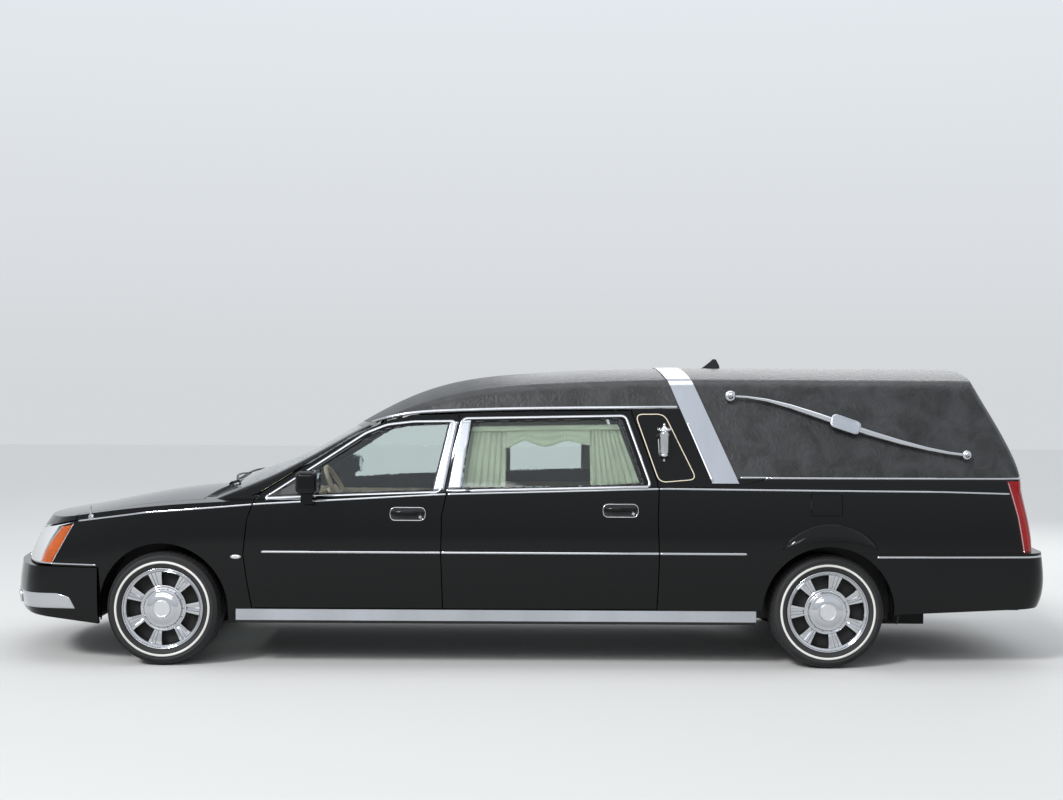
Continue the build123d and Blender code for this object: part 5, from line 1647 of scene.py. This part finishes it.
@dataclass
class FrontDetails:
    """Grille surround with painted shade behind it, intake, fog lamps, staff holder, cowl, wipers and fender
    markers.

    Args:
        axis_x: Where the axis of the rounded nose stands.
        radius: Radius of the grille's face at its foot and at its top.
        span: Heights of its foot and top.
        half: Its half width.
        inset: How far the surround lies inside the grille's edge.
        insert_z: Heights of the corner inserts' foot and top.
        marker: Middle of the side markers, x and z.
    """

    axis_x: float = -1.790
    radius: tuple[float, float] = (1.326, 1.241)
    span: tuple[float, float] = (0.576, 0.761)
    half: float = 0.341
    inset: float = 0.004
    insert_z: tuple[float, float] = (0.325, 0.412)
    marker: tuple[float, float] = (-1.661, 0.650)

    def nose(self, y: float, z: float, out: float) -> Vector:
        """Returns a point on the grille's rounded face, standing out by a distance."""
        share = (z - self.span[0]) / (self.span[1] - self.span[0])
        r = self.radius[0] + (self.radius[1] - self.radius[0]) * share + out
        return Vector((self.axis_x - math.sqrt(r * r - y * y), y, z))

    def grille(self) -> None:
        """Adds the bright surround, a near-black sheet behind it as painted shade, and fine inner blades."""
        surround, blades = bags(2)
        foot, top = self.span
        low, high, edge = foot + self.inset, top - self.inset, self.half - self.inset
        for z in (low, high):
            surround.tube([self.nose(edge * (k / 20 - 1), z, 0.001) for k in range(41)], 0.0052, 10)
        for y in (-edge, edge):
            surround.tube([self.nose(y, low + (high - low) * k / 12, 0.001) for k in range(13)], 0.0052, 10)
        surround.build("grille_surround", "chrome")
        columns, rows = 40, 8
        verts = [self.nose(self.half * (2 * c / columns - 1), foot + (top - foot) * r / rows, back)
                 for back in (-0.040, -0.046) for c in range(columns + 1) for r in range(rows + 1)]
        faces = grid_faces(columns + 1, rows + 1)
        faces += grid_faces(columns + 1, rows + 1, turn=True, base=len(verts) // 2)
        # A near-black sheet behind the blades: painted shade inside the grille.
        MeshBag().add(verts, faces).build("grille_shade_sheet", "void")
        for k in range(35):
            path = [self.nose(-0.3145 + 0.0185 * k, foot + 0.012 + 0.161 * j / 4, -0.024) for j in range(5)]
            blades.tube(path, 0.0011, 6)
        blades.build("grille_blades", "cream")

    def intake(self) -> None:
        """Adds the lower air intake, a flat near-black patch of painted shade with its bars, the round fog
        lamps and the blank front plate.
        """
        bars, lamps, rings = bags(3)
        # The intake is no opening: a near-black patch laid on the bumper, painted shade.
        intake = MeshBag().patch(lambda u, v: SKIN.front(-0.36 + 0.72 * u, 0.322 + 0.078 * v), 48, 8, 0.0012)
        intake.build("bumper_intake", "void")
        for z in (0.335, 0.354, 0.373, 0.392):
            bars.tube([SKIN.front(-0.355 + 0.71 * k / 40, z).out(0.0020) for k in range(41)], 0.0022, 8)
        bars.build("bumper_intake_bars", "chrome")
        for side in Side:
            hit = SKIN.front(side.value * 0.560, 0.362)
            a = hit.normal.cross(Vector((0, 0, 1))).normalized()
            b = hit.normal.cross(a).normalized()
            for bag, levels in ((rings, FOG_RING), (lamps, FOG_LENS)):
                bag.discs([[hit.out(0.003 + lift) + a * (r * math.cos(w)) + b * (r * math.sin(w))
                            for w in (math.tau * k / 36 for k in range(36))] for r, lift in levels])
        lamps.build("fog_lamp_lenses", "mirror")
        rings.build("fog_lamp_rings", "chrome")
        plate = MeshBag().patch(lambda u, v: SKIN.front(-0.155 + 0.31 * u, 0.425 + 0.10 * v), 24, 8, 0.0035)
        plate.build("front_plate_blank", "paint")

    def ornament(self) -> None:
        """Adds the small bright staff holder that stands on the left shoulder of the hood."""
        shoulder = (SKIN.top(-2.545, -0.90 + 0.004 * k) for k in range(80))
        foot = next(hit for hit in shoulder if hit and hit.point.z > 0.868)
        bag = MeshBag().tube([foot.out(d) for d in (-0.003, 0.004, 0.007, 0.009)],
                             [0.017, 0.017, 0.013, 0.004], 24)
        path = [foot.point + Vector((0, 0, h)) for h in (0.0, 0.020, 0.024, 0.050, 0.064)]
        bag.tube(path, [0.0065, 0.0055, 0.0075, 0.0050, 0.0040], 16)
        bag.build("staff_holder", "chrome", NODE_BODY[foot.node])

    def inserts(self) -> None:
        """Adds the bright insert that wraps each lower corner of the bumper."""
        columns, rows = 40, 12
        low, high = self.insert_z
        for side in Side:
            bearing = front_bearing(side, 0.30)
            grid = {}
            for r in range(rows + 1):
                v = r / rows
                z = low + (high - low) * v
                edge = -2.636 - (0.046 * v + 0.070 * max(0.0, v - 0.72) ** 1.5 / 0.28 ** 1.5)
                first = halve(lambda angle: bearing(angle, z).point.x < edge)
                last = halve(lambda angle: abs(bearing(angle, z).point.y) < 0.425)
                for c in range(columns + 1):
                    u = c / columns
                    grid[c, r] = bearing(first + (last - first) * u, z - 0.010 * u)
            bag = MeshBag()
            bag.patch(lambda u, v: grid[round(u * columns), round(v * rows)], columns, rows, 0.0030)
            bag.build(f"corner_insert_{side.label}", "chrome")

    def cowl(self) -> None:
        """Adds the cowl panel with near-black strips of painted shade for its slots, and the two wipers."""
        slots, arms = bags(2)

        def point(u: float, v: float) -> Hit | None:
            """Returns the skin between the hood and the windscreen at (u, v)."""
            y = -0.700 + 1.400 * u
            return SKIN.top(-1.876 + (glass_edge(y) - 0.002 + 1.876) * v, y)

        MeshBag().patch(point, 60, 4, 0.0022).build("cowl_panel", "black")
        # Each slot is a near-black strip laid on the panel, painted shade.
        for y in (-0.66 + 0.03 * k for k in range(44)):
            start, length = -1.872, glass_edge(y) - 0.008 + 1.872
            slots.tube([SKIN.top(start + length * j / 4, y).out(0.0028) for j in range(5)], 0.0016, 6)
        slots.build("cowl_slots", "void")
        for start, reach, lean in ((-0.52, 0.58, 0.06), (0.06, 0.54, 0.05)):
            blade, arm = [], []
            for t in (k / 24 for k in range(25)):
                y = start + reach * t
                hit = SKIN.top(glass_edge(y) + 0.030 + lean * t * 0.6, y)
                blade.append(hit.out(0.007))
                arm.append(hit.out(0.014 + 0.016 * math.sin(math.pi * t)))
            base = SKIN.top(glass_edge(start) - 0.010, start - 0.015)
            arms.tube(blade, 0.0035, 8).tube(arm, [0.0085 - 0.004 * k / 24 for k in range(25)], 8)
            arms.tube([base.out(-0.002), base.out(0.022)], [0.015, 0.012], 20)
            arms.tube([base.out(0.018), arm[0]], 0.0085, 10)
        arms.build("wipers", "black")

    def markers(self) -> None:
        """Adds the oval side marker on each fender."""
        rings, lenses = bags(2)
        x, z = self.marker
        for side in Side:
            for bag, grow, rise in ((rings, 1.0, 0.0), (lenses, 0.76, 0.0022)):
                levels = [(1.0, -0.001)] + [(scale, lift + rise) for scale, lift in MARKER_LEVELS]
                bag.discs([[SKIN.side(x + 0.032 * grow * scale * math.cos(a),
                                      z + 0.0125 * grow * scale * math.sin(a),
                                      side).out(lift) for a in (math.tau * k / 48 for k in range(48))]
                           for scale, lift in levels], cap=True)
        rings.build("side_marker_rings", "chrome")
        lenses.build("side_marker_lenses", "silver")

    def build(self) -> None:
        """Makes everything at the front end."""
        for maker in (self.grille, self.intake, self.inserts, self.ornament, self.cowl, self.markers):
            maker()
        log_piece("front details", 16)


@dataclass
class GlassDetails:
    """Sail panels, mirror glasses with their gaskets, and the side windows' gaskets.

    Args:
        sail: Corners of the sail panel, in side view.
        mirror: First and last y and z of the mirror glass.
        mirror_x: Where the glass stands.
    """

    sail: tuple = ((-1.468, 0.999), (-1.190, 1.011), (-1.190, 1.174), (-1.452, 1.010))
    mirror: tuple = (0.942, 1.094, 1.040, 1.148)
    mirror_x: float = -1.1665

    def build(self) -> None:
        """Makes them on both sides."""
        outline = rounded_loop(box_corners(*self.mirror), 0.028, 5)
        for side in Side:
            body = f"front_door_{side.label}"
            sail = MeshBag().patch(lambda u, v: SKIN.side(*quad(self.sail, u, v), side), 16, 10, 0.0030)
            sail.build(f"sail_panel_{side.label}", "black", body)
            edge = [(self.mirror_x, side.value * y, z) for y, z in outline]
            face = [(-1.1650, side.value * (1.018 + (y - 1.018) * 0.96), 1.094 + (z - 1.094) * 0.96)
                    for y, z in outline]
            glass = MeshBag().discs([edge[:-1], face[:-1]], cap=True)
            glass.build(f"mirror_glass_{side.label}", "mirror", body)
            MeshBag().tube(edge, 0.0028, 8).build(f"mirror_gasket_{side.label}", "black", body)
        for line in GASKETS:
            MOULDER.lay(*line)
        log_piece("sail panels and mirror glasses", 6)


@dataclass
class TailDetails:
    """Tail-lamp edges and bars, brake lamp, plate blank, handle and trims at the back.

    Args:
        edge: The lamp's forward edge in side view (height, x).
    """

    edge: tuple = ((0.690, 2.977), (0.900, 2.941), (1.104, 2.888))

    def edge_x(self, z: float) -> float:
        """Returns x of the lamp's forward edge at a height."""
        for (z0, x0), (z1, x1) in zip(self.edge, self.edge[1:]):
            if z <= z1:
                return x0 + (x1 - x0) * (z - z0) / (z1 - z0)
        return self.edge[-1][1]

    def lamps(self) -> None:
        """Adds the bright edge and the inner bars of both tail-lamps."""
        for side in Side:
            bars = MeshBag()
            run = [SKIN.side(self.edge_x(z) + 0.006, z, side).out(0.0012)
                   for z in (0.694 + 0.405 * k / 40 for k in range(41))]
            MeshBag().tube(run, 0.0030, 8).build(f"tail_lamp_edge_{side.label}", "chrome")
            for share in (0.30, 0.62):
                hits = [SKIN.side(self.edge_x(z) + 0.012 + 0.085 * share, z, side)
                        for z in (0.700 + 0.392 * k / 40 for k in range(41))]
                run = [hit.out(0.0004) for hit in hits if hit and hit.node == "tail_lamps"]
                if len(run) > 3:
                    bars.tube(run, 0.0018, 6)
            bars.build(f"tail_lamp_bars_{side.label}", "red")

    @staticmethod
    def rear_patch(name: str, finish: str, span: Point, columns: int, rows: int, height: Height) -> None:
        """Makes one raised patch on the loading door.

        Args:
            name: The piece's name.
            finish: The finish's name.
            span: First y, width, first z and height of the patch.
            columns: Faces along y.
            rows: Faces upward.
            height: How far it stands out, or a function that gives it at (u, v).
        """
        y, wide, z, high = span
        patch = MeshBag().patch(lambda u, v: SKIN.rear(y + wide * u, z + high * v), columns, rows, height)
        patch.build(name, finish, "load_door")

    def door(self) -> None:
        """Adds what is on the loading door."""
        self.rear_patch("rear_plate_blank", "white", (-0.1525, 0.305, 0.745, 0.152), 12, 8, 0.0045)
        outline = rounded_loop(box_corners(-0.160, 0.160, 0.738, 0.904), 0.012, 4)
        rim = MeshBag().tube([SKIN.rear(y, z).out(0.003) for y, z in outline], 0.0045, 8)
        rim.build("rear_plate_frame", "chrome", "load_door")
        self.rear_patch("load_door_bar", "chrome", (-0.46, 0.92, 0.955, 0.036), 48, 6,
                        lambda u, v: 0.010 * math.sin(math.pi * (0.1 + 0.8 * v)))
        self.rear_patch("high_brake_lamp", "red", (-0.26, 0.52, 1.590, 0.018), 24, 4, 0.006)
        self.rear_patch("load_door_handle", "chrome", (0.440, 0.115, 1.058, 0.046), 12, 8,
                        lambda u, v: 0.004 + 0.014 * math.sin(math.pi * u) * math.sin(math.pi * v))
        loop = rounded_loop([(-0.520, 1.190), (0.520, 1.190), (0.500, 1.560), (-0.500, 1.560)], 0.040, 6)
        hits = [SKIN.rear(y, z) for y, z in resample(loop, 0.02)]
        gasket = MeshBag().tube([hit.out(0.002) for hit in hits if hit], 0.0065, 8)
        gasket.build("load_window_gasket", "black", "load_door")

    @staticmethod
    def reflectors() -> None:
        """Adds the two small red reflectors."""
        bag = MeshBag()
        for side in Side:
            y = side.value * 0.40 - 0.025
            bag.patch(lambda u, v: SKIN.rear(y + 0.05 * u, 0.60 + 0.03 * v), 6, 4, 0.002)
        bag.build("rear_reflectors", "red")

    def build(self) -> None:
        """Makes everything at the tail."""
        for maker in (self.lamps, self.door, self.reflectors):
            maker()
        log_piece("tail details", 11)


@dataclass(frozen=True)
class Pad:
    """A stuffed seat part: its side outline carried across its width, crowned, with sewn channels.

    Args:
        name: The piece's name.
        outline: Its side outline (x, z), running round.
        half: Its half width.
        crown: How far its faces swell.
        channels: How many seams run along it.
        fill: How full it is stuffed; not used.
    """

    name: str
    outline: tuple[Point, ...]
    half: float
    crown: float
    channels: int
    fill: float

    def build(self, y: float, side: Side, bag: MeshBag) -> bpy.types.Object:
        """Makes the pad for the seat in the middle of y, and adds its piping to bag."""
        loop = resample(rounded_loop(self.outline, 0.035, 6), 0.012)
        if math.dist(loop[0], loop[-1]) < 0.004:
            loop = loop[:-1]
        m = len(loop)
        loop = [Vector(p) for p in loop]
        area = sum(a.x * b.y - b.x * a.y for a, b in zip(loop, loop[1:] + loop[:1]))
        along = [(loop[(k + 2) % m] - loop[k - 2]).normalized() for k in range(m)]
        normals = [Vector((t.y, -t.x)) * math.copysign(1.0, area) for t in along]
        middle = sum(loop, Vector((0, 0))) / m
        facing = [max(0.0, (p - middle).normalized().dot(n)) for p, n in zip(loop, normals)]
        seams = [-0.66 + 1.32 * (k + 0.5) / self.channels for k in range(self.channels)]
        rounding, columns = 0.030, 64
        verts = []
        for t in (2 * c / columns - 1 for c in range(columns + 1)):
            across = math.copysign(1 - (1 - abs(t)) ** 1.6, t)
            edge = max(0.0, abs(across) * self.half - (self.half - rounding)) / rounding
            inset = rounding * (1 - math.sqrt(max(0.0, 1 - edge * edge)))
            groove = sum(0.009 * math.exp(-(((across - seam) * self.half) / 0.007) ** 2) for seam in seams)
            swell = self.crown * (1 - across * across)
            for p, n, share in zip(loop, normals, facing):
                p = p + n * ((swell - groove) * share - inset)
                verts.append((p.x, y + across * self.half, p.y))
        faces = grid_faces(columns + 1, m, ring=True)
        faces += [tuple(range(m - 1, -1, -1)), tuple(range(columns * m, (columns + 1) * m))]
        obj = MeshBag().add(verts, faces).build(f"{self.name}_{side.label}", "leather")
        seam_line = [p - n * 0.0065 for p, n in zip(loop, normals)]
        for end in (-1, 1):
            place = y + end * (self.half - 0.012)
            bag.tube([(p.x, place, p.y) for p in seam_line + seam_line[:1]], 0.0034, 6)
        return obj


@dataclass
class Seats:
    """The two front seats.

    Args:
        pads: Cushion, back and headrest of a seat.
        offset: How far each seat's middle stands from the coach's.
    """

    pads: tuple[Pad, ...] = (
        Pad("seat_cushion", ((-0.930, 0.412), (-0.946, 0.545), (-0.880, 0.566), (-0.470, 0.516),
                             (-0.444, 0.412)), 0.270, 0.016, 4, 0.8),
        Pad("seat_back", ((-0.535, 0.500), (-0.440, 0.446), (-0.290, 0.560), (-0.215, 1.060), (-0.300, 1.074),
                          (-0.402, 0.700)), 0.262, 0.014, 4, 0.8),
        Pad("seat_headrest", ((-0.304, 1.120), (-0.212, 1.112), (-0.170, 1.270), (-0.256, 1.287)),
            0.135, 0.010, 0, 0.9),
    )
    offset: float = 0.370

    def build(self) -> None:
        """Makes both seats in place of the CAD ones."""
        for side in Side:
            y = side.value * self.offset
            piping, base, stems = bags(3)
            cushion, *_ = [pad.build(y, side, piping) for pad in self.pads]
            if side is Side.LEFT:
                stand_for(cushion, "front_seats")
            base.box((-0.860, y - 0.200, 0.300), (-0.480, y + 0.200, 0.412), 0.012)
            for rail in (y - 0.17, y + 0.17):
                base.box((-0.900, rail - 0.018, 0.296), (-0.440, rail + 0.018, 0.318), 0.004)
            for stem in (y - 0.06, y + 0.06):
                stems.tube([(-0.258, stem, 1.05), (-0.244, stem, 1.150)], 0.007, 12)
            piping.build(f"seat_piping_{side.label}", "trim")
            base.build(f"seat_base_{side.label}", "black", COACH, False)
            stems.build(f"seat_stems_{side.label}", "chrome")
        log_piece("seats", 12)


# Door trims: first and last x and z of each door's panel.
TRIMS = {"front_door": (-1.45, -0.54, 0.42, 0.93), "rear_door": (-0.34, 0.72, 0.42, 0.98)}


@dataclass
class Cabin:
    """Linings, door trims, dashboard details and load-space details.

    Args:
        head_parts: First and last x of the headliner's two parts.
        head_half: Their half width.
        linings: First x, length, first z and height of the load space's two side linings.
        dials: The y of the three dials.
        dial: Height of their middles and their radius.
        deck: First and last x of the deck's covering and runners.
    """

    head_parts: tuple = ((-0.86, 0.90), (1.06, 2.60))
    head_half: float = 0.53
    linings: tuple = ((0.90, 1.85, 0.80, 0.27), (1.35, 1.25, 1.15, 0.33))
    dials: tuple[float, ...] = (-0.455, -0.375, -0.295)
    dial: tuple[float, float] = (0.966, 0.034)
    deck: tuple[float, float] = (-0.200, 2.960)

    @staticmethod
    def inner(x: float, z: float, side: Side) -> Hit | None:
        """Returns the inner face of the side at (x, z)."""
        return INNER.cast((x, 0.0, z), (0, side.value, 0))

    def door_trims(self) -> None:
        """Adds a trim panel, an armrest and a wood strip to each door."""
        for side in Side:
            for door, (x0, x1, z0, z1) in TRIMS.items():
                body = f"{door}_{side.label}"
                panel = MeshBag().patch(
                    lambda u, v: self.inner(x0 + (x1 - x0) * u, z0 + (z1 - z0) * v, side),
                    28, 14, lambda u, v: 0.0060 + 0.0025 * math.sin(math.pi * v))
                panel.build(f"trim_{body}", "trim", body)
                start = (x0 + x1) / 2 - 0.24
                path = [self.inner(start + 0.48 * k / 12, 0.70, side).out(0.012) for k in range(13)]
                rest = MeshBag().tube(path, [0.012] + [0.024] * 11 + [0.012], 14)
                rest.build(f"armrest_{body}", "leather", body)
                wood = MeshBag().patch(
                    lambda u, v: self.inner(x0 + 0.04 + (x1 - x0 - 0.08) * u, 0.835 + 0.040 * v, side),
                    28, 3, 0.0105)
                wood.build(f"wood_{body}", "wood", body)

    def load_linings(self) -> None:
        """Adds the headliner and the side linings of the load space."""
        head = MeshBag()
        for x0, x1 in self.head_parts:
            head.patch(lambda u, v: INNER.cast((x0 + (x1 - x0) * u, self.head_half * (2 * v - 1), 1.30),
                                               (0, 0, 1)),
                       40, 16, 0.006)
        head.build("headliner", "drape")
        for side in Side:
            bag = MeshBag()
            for x, long, z, high in self.linings:
                bag.patch(lambda u, v: self.inner(x + long * u, z + high * v, side), 40, 8, 0.006)
            bag.build(f"load_lining_{side.label}", "drape")

    def dashboard(self) -> None:
        """Adds the wood strip, vents, screen, dial hood and dials."""
        wood, black, chrome, dials, needles = bags(5)
        wood.box((-1.349, -0.700, 0.868), (-1.3400, 0.700, 0.900), 0.002)
        for y in (-0.62, -0.13, 0.13, 0.62):
            black.box((-1.350, y - 0.052, 0.903), (-1.3385, y + 0.052, 0.928), 0.002)
            for z in (0.907 + 0.0055 * k for k in range(4)):
                chrome.tube([(-1.3380, y - 0.050, z), (-1.3380, y + 0.050, z)], 0.0010, 6)
        black.box((-1.351, -0.115, 0.800), (-1.3380, 0.115, 0.862), 0.003)
        for bag, name, finish in ((wood, "dash_wood", "wood"), (black, "dash_vents", "black"),
                                  (chrome, "dash_vent_bars", "chrome")):
            bag.build(name, finish, COACH, False)
        arch = []
        for a in (math.pi * k / 16 for k in range(17)):
            arch.append((-1.470, -0.375 - 0.175 * math.cos(a), 0.984 + 0.050 * math.sin(a)))
            arch.append((-1.350, -0.375 - 0.165 * math.cos(a), 0.944 + 0.058 * math.sin(a)))
        MeshBag().add(arch, grid_faces(17, 2, turn=True)).build("dial_hood", "trim", thick=0.006)
        z, r = self.dial
        for y in self.dials:
            round_ = [(y + r * math.cos(a), z + r * math.sin(a))
                      for a in (math.tau * k / 32 for k in range(32))]
            faces = [tuple(range(32)), tuple(range(63, 31, -1))] + grid_faces(2, 32, ring=True, turn=True)
            dials.add([(x, *p) for x in (-1.3560, -1.3620) for p in round_], faces)
            needles.tube([(-1.3550, y, z), (-1.3550, y - 0.020, z - 0.014)], 0.0010, 6)
        dials.build("dials", "black")
        needles.build("dial_needles", "white")

    def load_deck(self) -> None:
        """Adds the deck's dark covering and bright runners beside the rollers."""
        cover, runners = bags(2)
        x0, x1 = self.deck
        for y0, y1 in ((-0.548, -0.335), (0.335, 0.548)):
            cover.box((x0, y0, 0.6405), (x1, y1, 0.6440), 0.001)
        for y in (-0.345, -0.335, 0.335, 0.345):
            runners.tube([(x0, y, 0.6450), (x1, y, 0.6450)], 0.0030, 8)
        cover.build("deck_covering", "wood", COACH, False)
        runners.build("deck_runners", "chrome")

    def build(self) -> None:
        """Makes everything inside."""
        for maker in (self.door_trims, self.load_linings, self.dashboard, self.load_deck):
            maker()
        log_piece("cabin", 23)


PARTS = (Mouldings, RoofBand, ArchFlare, QuarterPlate, Handles, LandauBar, CoachLamp, Wheel, Drapery,
         Headlamps, FrontDetails, GlassDetails, TailDetails, Seats, Cabin)


def main() -> None:
    """Builds the whole scene."""
    logging.basicConfig(level=logging.INFO, format="%(name)s %(message)s")
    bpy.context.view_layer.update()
    paint_cad(frame["nodes"])
    for part in (*PARTS, CameraRig, Studio):
        part().build()


if __name__ == "__main__":
    main()
